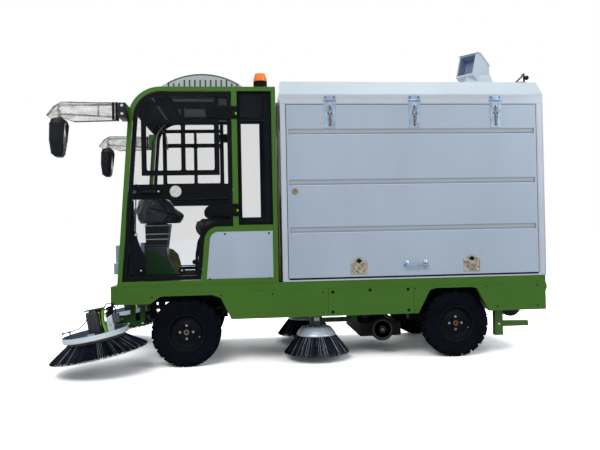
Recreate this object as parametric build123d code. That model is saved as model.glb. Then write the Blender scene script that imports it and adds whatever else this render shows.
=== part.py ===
from build123d import *
import os
from math import cos, pi, radians, sin

# Driving dimensions in millimetres and degrees.
# X runs rearwards from the front axle, Y to the vehicle's right, Z up from the ground.
# The finished part is moved along X so that its box is centred on the origin.

# Wheels and axles
WHEELBASE = 2432
TYRE_R = 305
TYRE_W = 155
RIM_R = 165
WHEEL_Y = 625
KINGPIN_Y = 520
KINGPIN_R = 12
STUB_R = 20
RUN_FIT = 0.06
NUT_CIRCLE_R = 57.5
LUG_COUNT = 20
LUG_GAP = 15
LUG_DEPTH = 17

# Body
HALF_W = 753
WALL = 45
SILL_Z = 664
DECK_Z = 728
SILL_FRONT = -617
SILL_REAR = WHEELBASE + 828
SKIRT_T = 40
SKIRT_BOTTOM = 417
SKIRT_FRONT_BOTTOM = 570
ARCH_TOP = 634
SEAM_1 = 1252
SEAM_2 = WHEELBASE - 407
SEAM_GAP = 3
RAIL_Y = 330
RAIL_W = 60
RAIL_Z = 540
FLOOR_T = 24

# Cab
CAB_FRONT_LOW = -574
CAB_FRONT_HIGH = -457
CAB_CURVE_Z = 2203
CAB_CURVE_MID = (-369, 2376)
CAB_ROOF_X = -181
CAB_ROOF_Z = 2450
CAB_REAR = 815
PILLAR = 38
B_PILLAR = (428, 475)
CORNER_X = 139
CORNER_TOP_X = 187
CORNER_Z = 1228
CORNER_R = 120
CORNER_RIM = 45
WAIST_Z = 960
GLASS_T = 6
SEAL = 0.3
DOOR_T = 30
DOOR_GAP = 6
DOOR_RIM = 34
DOOR_BAND = (1473, 1603)
SLIDER_X = (-351, 318)
SLIDER_Z = (1679, 2163)
SLIDER_BAR = 40
MULLION_X = (-8, 22)
TRANSOM_Z = (2280, 2318)
DOOR_AXIS_X = 452
HANDLE_SPAN = (-380, -190)
LOCK_X = -412
DOOR_HINGE_Z = (1370, 2223)

# Ceiling console inside the cab
CONSOLE_X = (-132, 520)
CONSOLE_Y = (-495, 470)
CONSOLE_VENTS = (((-110, 490), (-480, -160)), ((-110, 150), (0, 440)), ((210, 490), (0, 440)))

# Box
BOX_FRONT = 853
BOX_REAR = SILL_REAR + 10
BOX_TOP = 2387
ROOF_TOP = BOX_TOP + 133
ROOF_INSET = 103
HATCH_X = (BOX_FRONT + 54, BOX_REAR - 70)
HATCH_Z = (DECK_Z + 31, BOX_TOP - 95)
HATCH_T = 32
HATCH_GAP = 6
HATCH_AXIS_Z = BOX_TOP - 57
GROOVE_Z = (BOX_TOP - 1203, BOX_TOP - 782, BOX_TOP - 333)
GROOVE_H = 52
GROOVE_DEPTH = 12
HATCH_HINGE_X = (HATCH_X[0] + 390, (HATCH_X[0] + HATCH_X[1]) / 2 + 11, HATCH_X[1] - 381)
HATCH_LOCK_X = (HATCH_X[0] + 625, HATCH_X[1] - 633)
LOCK_Z = HATCH_Z[0] + 99
HANDLE_X = (HATCH_X[0] + HATCH_X[1]) / 2 - 1.5
HANDLE_OUT = 50
HANDLE_R = 9
REAR_DOOR_Y = 690
REAR_HINGE_Y = (-450, 0, 450)

# Hinges
HINGE_R = 9
HINGE_PIN_R = 4
LEAF_T = 5

# Front brushes
BRUSH_X = -750
BRUSH_Y = 800
BRUSH_Z = 360
BRUSH_TILT = 9.5
COVER_R = 272
COVER_H = 48
TRAY_WALL = 5
BRISTLE_TOP_R = 235
BRISTLE_R = 405
BRISTLE_H = 190
SHAFT_R = 12
SHAFT_H = 40
ARM_PIVOT_X = -565
ARM_PIVOT_Z = 430
CARRIER_Y = 600
CARRIER_BARS = (-490, -405)
CARRIER_X = (-528, -365)
FORK_Z = 406

# Middle brushes
MID_X = WHEELBASE - 1267
MID_Y = 520
MID_DISH_Z = (224, 302)
MID_DISH_R = (180, 112)
MID_BRISTLE_R = 300
MID_BRISTLE_Z = 62
MID_MOTOR_Z = 307
MID_PIVOT_X = MID_X + 345
MID_PIVOT_Z = 352

# Suction head
HEAD_X = (WHEELBASE - 832, WHEELBASE - 442)
HEAD_Y = 400
HEAD_Z = (165, 290)
HEAD_WALL = 8
CASTOR_X = HEAD_X[0] + 180
CASTOR_Z = 250
CASTOR_R = 105
CASTOR_Y = 525
CASTOR_W = 46
LINK_X = HEAD_X[0] + 40
LIFT_X = LINK_X - 590
LIFT_Z = 425
LINK_Z = 330

# Mirrors: the wrap's side view, and the head's sections as height, X range and width
MIRROR_Y = 932
MIRROR_CLAMP_Z = (2145, 2268)
MIRROR_TUBE_Z = (2256, 2150)
MIRROR_TUBE_R = 8
MIRROR_LOOP_X = -990
MIRROR_UPRIGHT_X = -665
MIRROR_WRAP = ((-1077, 2165), (-1018, 2240), (-955, 2276), (-501, 2270), (-501, 2146), (-530, 2122),
               (-860, 2114), (-960, 2150), (-1040, 2136))
MIRROR_HEAD = ((1824, (-1010, -962), 96), (1850, (-1040, -945), 132), (1960, (-1052, -928), 176),
               (2085, (-1046, -917), 190), (2125, (-1034, -925), 170), (2140, (-1012, -945), 110))
MIRROR_FACE_X = -936

# The front reach is the tilted tip circle of the front brushes, the rear reach the box's door.
TILT = radians(BRUSH_TILT)
FRONT_REACH = BRUSH_X - BRISTLE_R * cos(TILT) + BRISTLE_H * sin(TILT)
REAR_REACH = BOX_REAR + HANDLE_OUT
CENTRE_X = (FRONT_REACH + REAR_REACH) / 2

SIDES = (("left", -1), ("right", 1))
parts = {}


def block(x, y, z):
    size = [high - low for low, high in (x, y, z)]
    centre = [(high + low) / 2 for low, high in (x, y, z)]
    return Pos(*centre) * Box(*size)


def on_side(side, y):
    """A pair of distances from the centre plane, as a Y range on one side."""
    return tuple(sorted((side * y[0], side * y[1])))


def slab(sketch, y0, y1):
    """A side-view sketch (X, Z) as a plate between two Y values."""
    return Pos(0, y1, 0) * extrude(Plane.XZ * sketch, amount=y1 - y0)


def side_slab(sketch, side, inner, outer):
    low, high = on_side(side, (inner, outer))
    return slab(sketch, low, high)


def polygon(*points):
    return make_face(Polyline(*points, close=True))


def rect(x, z):
    return Pos((x[0] + x[1]) / 2, (z[0] + z[1]) / 2) * Rectangle(x[1] - x[0], z[1] - z[0])


def rod(start, end, radius):
    direction = Vector(*end) - Vector(*start)
    plane = Plane(origin=start, z_dir=direction)
    return extrude(plane * Circle(radius), amount=direction.length)


def ring_y(points, x, z, y, side):
    """A profile of (outward, radius) points turned about an axle along Y."""
    profile = polygon(*[(radius, side * out) for out, radius in points])
    return Pos(x, y, z) * revolve(profile, Axis.Y)


def turned(points, x, y, z):
    """A profile of (radius, height) points turned about an upright axis."""
    profile = Plane.XZ * polygon(*points)
    return Pos(x, y, z) * revolve(profile, Axis.Z)


def strap_hinge(width, up, down, foot, bridge):
    """Fixed and moving halves; the axis lies along X, outward is -Y, the moving leaf hangs down.
    Over the bridge, the stretch before the panel starts, the leaf stands a millimetre off."""
    third = width / 6
    axis_y = -(HINGE_R + 2)
    clear = HINGE_R + 3
    pin = Pos(0, axis_y, 0) * Rot(0, 90, 0) * Cylinder(HINGE_PIN_R, width)
    barrel = Pos(0, axis_y, 0) * Rot(0, 90, 0) * Cylinder(HINGE_R, 2 * third - 1)
    fixed = block((-width / 2, width / 2), (-LEAF_T, 0), (clear, up))
    fixed += block((-third + 0.5, third - 0.5), (-LEAF_T, 0), (0, clear))
    fixed = fixed + barrel + pin
    outline = polygon((-width / 2, -clear), (width / 2, -clear), (foot / 2, -down), (-foot / 2, -down))
    moving = slab(outline, -LEAF_T, 0)
    for centre in (-2 * third, 2 * third):
        knuckle = Pos(centre, axis_y, 0) * Rot(0, 90, 0) * Cylinder(HINGE_R, 2 * third - 1)
        moving += block((centre - third + 0.5, centre + third - 0.5), (-LEAF_T, 0), (-clear, 0))
        moving += knuckle
    for slant in (-1, 1):
        ribs = Line((slant * width * 0.3, -clear - 4), (slant * foot * 0.22, -down + 26))
        moving += slab(Plane.XY * trace(ribs, 9), -LEAF_T - 4, -LEAF_T + 1)
    moving -= block((-width, width), (-1, 1), (-bridge, 0))
    moving -= Pos(0, axis_y, 0) * Rot(0, 90, 0) * Cylinder(HINGE_PIN_R + RUN_FIT, width + 2)
    return fixed, moving


# Tyre, rim and nuts of one wheel, turned about its axle; out is towards the vehicle's side.

def many_sided(stations, count=2 * LUG_COUNT):
    """A solid of flat-faced rings about the Y axis, through (outward, radius) stations."""
    rings = [Plane.XZ.offset(-out) * RegularPolygon(radius, count) for out, radius in stations]
    return loft(rings, ruled=True)


def tyre():
    half = TYRE_W / 2
    shoulder = [(half - 22, TYRE_R), (half, TYRE_R - 36)]
    outside = [(-out, radius) for out, radius in reversed(shoulder)] + shoulder
    body = many_sided(outside)
    bead = (RIM_R + 0.5) / cos(pi / LUG_COUNT / 2)
    for turn in (0, 180):
        hollow = many_sided([(half - 14.5, bead), (half, TYRE_R - 60), (half + 5, TYRE_R - 60)])
        body -= Rot(0, 0, turn) * hollow
    bore = (RIM_R - 5) / cos(pi / LUG_COUNT)
    body -= many_sided([(-half, bore), (half, bore)], LUG_COUNT)
    cutter = block((-LUG_GAP / 2, LUG_GAP / 2), (half - 34, half + 5),
                   (TYRE_R - LUG_DEPTH, TYRE_R + 10))
    step = 360 / LUG_COUNT
    cuts = [Rot(0, (i + 0.5) * step, 0) * cutter for i in range(LUG_COUNT)]
    cuts += [Rot(0, i * step, 0) * mirror(cutter, Plane.XZ) for i in range(LUG_COUNT)]
    return body - cuts


def rim(x, side):
    seat = RIM_R - 5.3
    half = TYRE_W / 2
    barrel = [(-half + 14, seat), (half - 14, seat), (half - 14, RIM_R), (half - 9, RIM_R), (half - 9, seat - 8),
              (half - 24, seat - 14), (35, 132), (28, 124), (30, 96), (38, 80), (38, 44), (52, 40), (52, 0),
              (38, 0), (38, STUB_R + RUN_FIT), (-24, STUB_R + RUN_FIT), (-24, 42), (20, 46), (20, 128),
              (-half + 9, seat - 12), (-half + 9, RIM_R), (-half + 14, RIM_R)]
    wheel = ring_y(barrel, 0, 0, 0, side)
    for i in range(4):
        angle = i * pi / 2
        x_nut, z_nut = NUT_CIRCLE_R * cos(angle), NUT_CIRCLE_R * sin(angle)
        wheel += rod((x_nut, side * 37, z_nut), (x_nut, side * 52, z_nut), 9)
    return Pos(x, side * WHEEL_Y, TYRE_R) * wheel


lugged_tyre = tyre()
for name, x in (("front", 0), ("rear", WHEELBASE)):
    for side_name, side in SIDES:
        parts[f"tyre_{name}_{side_name}"] = Pos(x, side * WHEEL_Y, TYRE_R) * lugged_tyre
        parts[f"rim_{name}_{side_name}"] = rim(x, side)

# Front axle beam with an eye for each kingpin, knuckles, and the tie rod behind them.
EYE_R = 27
EYE_H = 30
beam = block((-28, 28), (-KINGPIN_Y + 20, KINGPIN_Y - 20), (TYRE_R - 30, TYRE_R + 30))
beam -= block((10, 40), (-KINGPIN_Y + 60, KINGPIN_Y - 60), (TYRE_R - 16, TYRE_R + 16))
beam -= block((-40, -10), (-KINGPIN_Y + 60, KINGPIN_Y - 60), (TYRE_R - 16, TYRE_R + 16))
for side_name, side in SIDES:
    beam += Pos(0, side * KINGPIN_Y, TYRE_R) * Cylinder(EYE_R, 2 * EYE_H)
for side_name, side in SIDES:
    beam -= Pos(0, side * KINGPIN_Y, TYRE_R) * Cylinder(KINGPIN_R + RUN_FIT, 4 * EYE_H)
parts["front_axle"] = beam

TIE_X = 130
TIE_Z = TYRE_R - EYE_H - 30
for side_name, side in SIDES:
    knuckle = Pos(0, side * KINGPIN_Y, TYRE_R) * Cylinder(KINGPIN_R, 2 * EYE_H + 30)
    for level in (EYE_H + 8, -EYE_H - 8):
        lug = Cylinder(EYE_R, 14) + block((-EYE_R, EYE_R), on_side(side, (0, 44)), (-7, 7))
        knuckle += Pos(0, side * KINGPIN_Y, TYRE_R + level) * lug
    web = (KINGPIN_Y + 32, KINGPIN_Y + 44)
    knuckle += block((-EYE_R, EYE_R), on_side(side, web), (TYRE_R - EYE_H - 15, TYRE_R + EYE_H + 15))
    knuckle += ring_y([(0, STUB_R), (WHEEL_Y - KINGPIN_Y, STUB_R), (WHEEL_Y - KINGPIN_Y, 0), (0, 0)],
                      0, TYRE_R, side * (KINGPIN_Y + 36), side)
    knuckle += ring_y([(0, 0), (0, 105), (10, 105), (10, 0)], 0, TYRE_R, side * web[1], side)
    arm_y = on_side(side, (KINGPIN_Y - 14, KINGPIN_Y + 14))
    knuckle += block((0, TIE_X), arm_y, (TYRE_R - EYE_H - 15, TYRE_R - EYE_H - 1))
    knuckle += Pos(TIE_X, side * KINGPIN_Y, TYRE_R - EYE_H - 8) * Cylinder(14, 14)
    knuckle += Pos(TIE_X, side * KINGPIN_Y, TIE_Z) * Cylinder(6, 30)
    parts[f"knuckle_{side_name}"] = knuckle
tie_rod = rod((TIE_X, -KINGPIN_Y + 14, TIE_Z), (TIE_X, KINGPIN_Y - 14, TIE_Z), 11)
for side_name, side in SIDES:
    tie_rod += Pos(TIE_X, side * KINGPIN_Y, TIE_Z) * Cylinder(17, 22)
for side_name, side in SIDES:
    tie_rod -= Pos(TIE_X, side * KINGPIN_Y, TIE_Z) * Cylinder(6 + RUN_FIT, 40)
parts["tie_rod"] = tie_rod

# Rear axle: tube, drive housing, backing plates and stubs.
TUBE_R = 40
AXLE_END = WHEEL_Y - 40
rear_axle = rod((WHEELBASE, -AXLE_END, TYRE_R), (WHEELBASE, AXLE_END, TYRE_R), TUBE_R)
rear_axle += rod((WHEELBASE, -WHEEL_Y - 37, TYRE_R), (WHEELBASE, WHEEL_Y + 37, TYRE_R), STUB_R)
rear_axle += Pos(WHEELBASE, 60, TYRE_R) * Sphere(105)
rear_axle += rod((WHEELBASE - 250, 60, TYRE_R + 10), (WHEELBASE, 60, TYRE_R + 10), 70)
for side_name, side in SIDES:
    rear_axle += ring_y([(0, 0), (0, 105), (12, 105), (12, 0)], WHEELBASE, TYRE_R,
                        side * (AXLE_END - 12), side)
parts["rear_axle"] = rear_axle

# Leaf springs over each axle, carried by hangers of the frame.
SPRING_HALF = 330
SPRING_W = 50
SPRING_EYE_R = 22
springs = []
for x, seat in ((0, TYRE_R + 30), (WHEELBASE, TYRE_R + TUBE_R)):
    for side_name, side in SIDES:
        y = on_side(side, (RAIL_Y - SPRING_W / 2, RAIL_Y + SPRING_W / 2))
        eye_z = seat + 85
        rise = eye_z - SPRING_EYE_R + 4
        top = [(x - SPRING_HALF, rise + 9), (x, seat + 30), (x + SPRING_HALF, rise + 9)]
        bottom = [(x + SPRING_HALF, rise), (x + 110, seat + 4), (x, seat), (x - 110, seat + 4),
                  (x - SPRING_HALF, rise)]
        leaf = make_face([ThreePointArc(*top), Polyline(top[-1], *bottom, top[0])])
        spring = slab(leaf, *y)
        for end in (-SPRING_HALF, SPRING_HALF):
            spring += rod((x + end, y[0], eye_z), (x + end, y[1], eye_z), SPRING_EYE_R)
        springs.append(spring)
parts["leaf_springs"] = Compound(children=springs)

# Ladder frame: rails with the spring hangers, cross members on top of them, and side sills.
CROSS_Z = SILL_Z - 20
POST_X = WHEELBASE + 435
CROSS_X = (-560, -330, 420, 860, WHEELBASE - 932, WHEELBASE - 372, POST_X, SILL_REAR - 80)
rails = []
sills = []
for side_name, side in SIDES:
    rail_y = on_side(side, (RAIL_Y - RAIL_W / 2, RAIL_Y + RAIL_W / 2))
    rail = block((-590, SILL_REAR - 30), rail_y, (RAIL_Z, CROSS_Z))
    for x, seat in ((0, TYRE_R + 30), (WHEELBASE, TYRE_R + TUBE_R)):
        for end in (-SPRING_HALF, SPRING_HALF):
            eye_z = seat + 85
            for ear in (RAIL_Y - SPRING_W / 2 - 8, RAIL_Y + SPRING_W / 2):
                ear_y = on_side(side, (ear, ear + 8))
                rail += block((x + end - 26, x + end + 26), ear_y, (eye_z - 30, RAIL_Z + 10))
    rails.append(rail)
    sill_y = on_side(side, (HALF_W - SKIRT_T, HALF_W))
    sills.append(block((SILL_FRONT, SILL_REAR), sill_y, (SILL_Z, DECK_Z - 0.5)))
parts["chassis_rails"] = Compound(children=rails)
parts["side_sills"] = Compound(children=sills)
cross_members = {
    x: block((x - 30, x + 30), (-HALF_W + SKIRT_T, HALF_W - SKIRT_T), (CROSS_Z, DECK_Z - FLOOR_T))
    for x in CROSS_X}

# Skirts: a front panel round the wheel arch, a bolted middle panel and a rear panel.
ARCH_FRONT = [(SILL_FRONT, SILL_Z), (SILL_FRONT, SKIRT_FRONT_BOTTOM), (-299, SKIRT_FRONT_BOTTOM), (-214, 630),
              (-180, ARCH_TOP), (231, ARCH_TOP), (308, 606), (396, SKIRT_BOTTOM),
              (SEAM_1 - SEAM_GAP / 2, SKIRT_BOTTOM), (SEAM_1 - SEAM_GAP / 2, SILL_Z)]
ARCH_REAR = [(SEAM_2 + SEAM_GAP / 2, SILL_Z), (SEAM_2 + SEAM_GAP / 2, SKIRT_BOTTOM),
             (WHEELBASE - 366, SKIRT_BOTTOM), (WHEELBASE - 258, 621), (WHEELBASE - 202, ARCH_TOP + 4),
             (WHEELBASE + 128, ARCH_TOP + 4), (WHEELBASE + 179, 627), (WHEELBASE + 291, SKIRT_BOTTOM),
             (SILL_REAR, SKIRT_BOTTOM), (SILL_REAR, SILL_Z)]
MIDDLE = rect((SEAM_1 + SEAM_GAP / 2, SEAM_2 - SEAM_GAP / 2), (SKIRT_BOTTOM, SILL_Z))
parts["skirts"] = Compound(children=[
    side_slab(face, side, HALF_W - SKIRT_T, HALF_W)
    for face in (polygon(*ARCH_FRONT), MIDDLE, polygon(*ARCH_REAR)) for name, side in SIDES])


# Cab outline in side view, and the openings that share it.

def front_x(z):
    share = (z - DECK_Z) / (CAB_CURVE_Z - DECK_Z)
    return CAB_FRONT_LOW + share * (CAB_FRONT_HIGH - CAB_FRONT_LOW)


curve_start = (CAB_FRONT_HIGH, CAB_CURVE_Z)
roof_start = (CAB_ROOF_X, CAB_ROOF_Z)
cab_face = make_face([
    Line((CAB_FRONT_LOW, DECK_Z), curve_start),
    ThreePointArc(curve_start, CAB_CURVE_MID, roof_start),
    Polyline(roof_start, (CAB_REAR, CAB_ROOF_Z), (CAB_REAR, DECK_Z), (CAB_FRONT_LOW, DECK_Z)),
])
cab_inner = offset(cab_face, amount=-PILLAR, kind=Kind.INTERSECTION)
corner_face = polygon((CORNER_X, DECK_Z), (CORNER_TOP_X, CORNER_Z), (CAB_REAR, CORNER_Z), (CAB_REAR, DECK_Z))
corner_tip = corner_face.vertices().sort_by(Axis.Y)[-2:].sort_by(Axis.X)[0]
corner_face = fillet(corner_tip, CORNER_R)
corner_plate = offset(corner_face, amount=-CORNER_RIM, kind=Kind.INTERSECTION)
door_zone = rect((-1000, B_PILLAR[0]), (DECK_Z, CAB_ROOF_Z))
door_opening = (cab_inner & door_zone) - corner_face
quarter_opening = cab_inner & rect((B_PILLAR[1], CAB_REAR - PILLAR), (CORNER_Z + 10, CAB_ROOF_Z))

side_frame = cab_face - door_opening - quarter_opening - corner_plate
cab_frame = None
for side_name, side in SIDES:
    frame_side = side_slab(side_frame, side, HALF_W - WALL, HALF_W)
    cab_frame = frame_side if cab_frame is None else cab_frame + frame_side
inner_w = HALF_W - WALL
for x, z in (((CAB_ROOF_X, CAB_ROOF_X + 40), (CAB_ROOF_Z - 60, CAB_ROOF_Z - 20)),
             ((CAB_REAR - 40, CAB_REAR), (CAB_ROOF_Z - 60, CAB_ROOF_Z - 20)),
             ((CAB_REAR - 40, CAB_REAR), (DECK_Z, DECK_Z + 40)),
             ((front_x(WAIST_Z) + 30, front_x(WAIST_Z) + 70), (WAIST_Z - 50, WAIST_Z - 10))):
    cab_frame += block(x, (-inner_w, inner_w), z)
parts["cab_frame"] = cab_frame

roof_skin = (cab_face - offset(cab_face, amount=-19, kind=Kind.INTERSECTION))
roof_skin = roof_skin & rect((-1000, CAB_REAR), (CAB_CURVE_Z + 60, CAB_ROOF_Z + 10))
roof_skin = roof_skin - rect((CAB_REAR - 19, CAB_REAR + 1), (CAB_CURVE_Z, CAB_ROOF_Z - 19))
console = block(CONSOLE_X, CONSOLE_Y, (CAB_ROOF_Z - 48, CAB_ROOF_Z - 18))
for x, y in CONSOLE_VENTS:
    console -= block(x, y, (CAB_ROOF_Z - 50, CAB_ROOF_Z - 42))
parts["cab_roof"] = slab(roof_skin, -inner_w, inner_w) + console

# Windscreen and front panel follow the sloping front line.
SCREEN_TOP = CAB_CURVE_Z + 55
screen_low = front_x(WAIST_Z + 2)
screen = polygon((screen_low + 6, WAIST_Z + 2), (screen_low + 6 + GLASS_T, WAIST_Z + 2),
                 (CAB_FRONT_HIGH + 12 + GLASS_T, CAB_CURVE_Z), (CAB_FRONT_HIGH + 30 + GLASS_T, SCREEN_TOP),
                 (CAB_FRONT_HIGH + 30, SCREEN_TOP), (CAB_FRONT_HIGH + 10, CAB_CURVE_Z))
cab_glass = [slab(screen, -inner_w + SEAL, inner_w - SEAL)]
PANEL_T = 28
front_panel = polygon((CAB_FRONT_LOW, DECK_Z), (front_x(WAIST_Z), WAIST_Z),
                      (front_x(WAIST_Z) + PANEL_T, WAIST_Z), (CAB_FRONT_LOW + PANEL_T, DECK_Z))
apron = rect((SILL_FRONT - 12, SILL_FRONT), (SKIRT_FRONT_BOTTOM, DECK_Z))
front = slab(front_panel, -inner_w, inner_w) + slab(apron, -HALF_W, HALF_W)
front += block((SILL_FRONT - 1, CAB_FRONT_LOW + PANEL_T), (-inner_w, inner_w), (DECK_Z - 6, DECK_Z))
parts["front_panel"] = front

# Quarter windows and the silver lower corner plates.
quarter_glass = offset(quarter_opening, amount=-SEAL, kind=Kind.INTERSECTION)
plate_face = offset(corner_plate, amount=-SEAL, kind=Kind.INTERSECTION)
cab_glass += [side_slab(quarter_glass, side, HALF_W - 12 - GLASS_T, HALF_W - 12) for name, side in SIDES]
parts["corner_plates"] = Compound(children=[
    side_slab(plate_face, side, HALF_W - 12, HALF_W - 2) for name, side in SIDES])

# Cab rear wall with its window, and the cab floor.
REAR_WINDOW_Y = (-480, 480)
REAR_WINDOW_Z = (1500, 2150)
rear_wall = block((CAB_REAR - 30, CAB_REAR - 4), (-inner_w, inner_w), (DECK_Z + 40.5, CAB_ROOF_Z - 60.5))
rear_wall -= block((CAB_REAR - 50, CAB_REAR + 50), REAR_WINDOW_Y, REAR_WINDOW_Z)
parts["cab_rear_wall"] = rear_wall
cab_glass.append(block((CAB_REAR - 22, CAB_REAR - 16), REAR_WINDOW_Y, REAR_WINDOW_Z))
parts["cab_glass"] = Compound(children=cab_glass)
cab_floor = block((CAB_FRONT_LOW + PANEL_T + 2, CAB_REAR - 42), (-inner_w, inner_w), (DECK_Z - FLOOR_T, DECK_Z))

# Driver's place, left of the centre plane: column tower, wheel and seat.
DRIVER_Y = -250
WHEEL_TILT = 16
WHEEL_R = 188
WHEEL_HUB = (-257, DRIVER_Y, 1368)
COLUMN_FOOT = (-285, DRIVER_Y, 1250)
PEDAL_Y = (DRIVER_Y - 60, DRIVER_Y + 60)
SEAT_X = (78, 500)
SEAT_BASE_Z = 1150
SEAT_TOP_Z = 1290
BACK_TOP_Z = 1622
tower_side = polygon((-415, DECK_Z), (-85, DECK_Z), (-180, 930), (-198, 1048), (-168, 1264), (-390, 1264),
                     (-385, 1048), (-405, 930))
tower = slab(tower_side, DRIVER_Y - 105, DRIVER_Y + 105)
tower += rod(COLUMN_FOOT, WHEEL_HUB, 26)
tower += Pos(-290, DRIVER_Y, 1262) * Box(170, 150, 70)
for y in PEDAL_Y:
    pedal = polygon((-400, 800), (-400, 770), (-470, 770), (-505, 860), (-490, 868), (-462, 800))
    tower += slab(pedal, y - 34, y + 34)
wheel_plane = Plane(origin=WHEEL_HUB, z_dir=(sin(radians(WHEEL_TILT)), 0, cos(radians(WHEEL_TILT))))
tower += wheel_plane * (Pos(0, 0, 24) * Torus(WHEEL_R, 13))
tower += wheel_plane * (Pos(0, 0, 8) * Cylinder(38, 34))
for turn in (90, 210, 330):
    tower += wheel_plane * (Rot(0, 0, turn) * (Pos(WHEEL_R / 2 + 4, 0, 20) * Box(WHEEL_R - 16, 22, 8)))
parts["steering"] = tower
seat_y = (DRIVER_Y - 235, DRIVER_Y + 235)
cab_floor += block((130, 470), (DRIVER_Y - 190, DRIVER_Y + 190), (DECK_Z - 1, SEAT_BASE_Z))
cushion = fillet(block(SEAT_X, seat_y, (SEAT_BASE_Z + SEAL, SEAT_TOP_Z)).edges(), 38)
back = fillet(block((-45, 45), seat_y, (0, BACK_TOP_Z - SEAT_TOP_Z + 70)).edges(), 36)
parts["driver_seat"] = cushion + Pos(456, 0, SEAT_TOP_Z - 70) * Rot(0, 4, 0) * back


# Cab doors: dark rim and middle band, with two panes, on two strap hinges at the B pillar.
door_face = offset(door_opening, amount=-DOOR_GAP, kind=Kind.INTERSECTION)
door_inner = offset(door_face, amount=-DOOR_RIM, kind=Kind.INTERSECTION)
lower_pane = door_inner & rect((-1000, 1000), (DECK_Z, DOOR_BAND[0]))
window_face = door_inner & rect((-1000, 1000), (DOOR_BAND[1], CAB_ROOF_Z))
door_ring = door_face - lower_pane - window_face
slider_hole = rect((SLIDER_X[0] + SLIDER_BAR, MULLION_X[0]), (SLIDER_Z[0] + SLIDER_BAR, SLIDER_Z[1] - SLIDER_BAR))
slider_hole += rect((MULLION_X[1], SLIDER_X[1] - SLIDER_BAR), (SLIDER_Z[0] + SLIDER_BAR, SLIDER_Z[1] - SLIDER_BAR))
slider_hole = fillet(slider_hole.vertices(), 22)
slider_hole += rect((SLIDER_X[0] + SLIDER_BAR, SLIDER_X[1] - SLIDER_BAR), (SLIDER_Z[1], TRANSOM_Z[0]))
slider_hole -= rect(MULLION_X, (SLIDER_Z[1] - 1, TRANSOM_Z[0] + 1))
slider_hole += rect((SLIDER_X[0] + SLIDER_BAR, SLIDER_X[1] - SLIDER_BAR), (TRANSOM_Z[1], CAB_ROOF_Z))
slider_face = window_face & (rect(SLIDER_X, (SLIDER_Z[0], CAB_ROOF_Z)) - slider_hole)
door_outer = HALF_W - 5
door_inner_y = door_outer - DOOR_T
for side_name, side in SIDES:
    frame_part = side_slab(door_ring, side, door_inner_y, door_outer)
    frame_part += side_slab(slider_face, side, door_outer - 13.5, door_outer - 3)
    panes = [side_slab(offset(face, amount=-0.5), side, door_outer - 14 - GLASS_T, door_outer - 14)
             for face in (lower_pane, window_face)]
    for level in DOOR_HINGE_Z:
        fixed, moving = strap_hinge(110, 23, 240, 80, DOOR_AXIS_X - B_PILLAR[0] + DOOR_GAP)
        # The fixed leaf points to +X, the strap forwards, outward to the vehicle's side.
        place = Pos(DOOR_AXIS_X, -HALF_W, level) * Rot(0, 90, 0)
        fixed, moving = place * fixed, place * moving
        if side > 0:
            fixed, moving = mirror(fixed, Plane.XZ), mirror(moving, Plane.XZ)
        frame_part += moving
        parts["cab_frame"] += fixed
    pad_y = on_side(side, (door_outer, HALF_W))
    for level in DOOR_HINGE_Z:
        frame_part += block((DOOR_AXIS_X - 235, DOOR_AXIS_X - 40), pad_y, (level - 40, level + 40))
    handle_y = on_side(side, (HALF_W + 14, HALF_W + 28))
    grip = rect(HANDLE_SPAN, (1527, 1553))
    frame_part += slab(fillet(grip.vertices(), 10), *handle_y)
    for x in (HANDLE_SPAN[0] + 18, HANDLE_SPAN[1] - 18):
        frame_part += rod((x, side * door_outer, 1540), (x, side * (HALF_W + 20), 1540), 11)
    frame_part += rod((LOCK_X, side * door_outer, 1538), (LOCK_X, side * (HALF_W + 9), 1538), 15)
    parts[f"door_{side_name}"] = frame_part
    parts[f"door_glass_{side_name}"] = Compound(children=panes)

# Mirrors: clamp on the front pillar, two tubes joined by a bend and an upright, the loose wrap round
# them as a thin closed skin, and the hanging head.
mirrors = []
for side_name, side in SIDES:
    y = on_side(side, (MIRROR_Y - 27, MIRROR_Y + 27))
    arm = block((-500, -440), on_side(side, (HALF_W, MIRROR_Y + 30)), (MIRROR_CLAMP_Z[0], MIRROR_CLAMP_Z[1]))
    top_z, low_z = MIRROR_TUBE_Z
    loop = FilletPolyline((-499, 0, top_z), (MIRROR_LOOP_X, 0, top_z - 6), (MIRROR_LOOP_X, 0, low_z + 32),
                          (-499, 0, low_z), radius=38)
    start = Plane(origin=loop @ 0, z_dir=loop % 0)
    arm += Pos(0, side * MIRROR_Y, 0) * sweep(start * RegularPolygon(MIRROR_TUBE_R, 12), path=loop)
    arm += rod((MIRROR_UPRIGHT_X, side * MIRROR_Y, low_z + 6), (MIRROR_UPRIGHT_X, side * MIRROR_Y, top_z - 2), 7)
    wrap = polygon(*MIRROR_WRAP)
    wrap = side_slab(wrap, side, MIRROR_Y - 27, MIRROR_Y + 27) - side_slab(
        offset(wrap, amount=-1.5, kind=Kind.INTERSECTION), side, MIRROR_Y - 25.5, MIRROR_Y + 25.5)
    sections = []
    for z, x, width in MIRROR_HEAD:
        outline = RectangleRounded(x[1] - x[0], width, (x[1] - x[0]) * 0.36)
        sections.append(Pos((x[0] + x[1]) / 2, side * MIRROR_Y, z) * outline)
    head = loft(sections, ruled=True)
    face_z = (MIRROR_HEAD[1][0] + 22, MIRROR_HEAD[-2][0] - 12)
    head -= block((MIRROR_FACE_X, 0), on_side(side, (MIRROR_Y - 62, MIRROR_Y + 62)), face_z)
    head += rod((MIRROR_LOOP_X + 12, side * MIRROR_Y, MIRROR_HEAD[-1][0] - 20),
                (MIRROR_LOOP_X + 12, side * MIRROR_Y, low_z + 60), 12)
    mirrors.append(arm + wrap + head)
parts["mirrors"] = Compound(children=mirrors)

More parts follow.
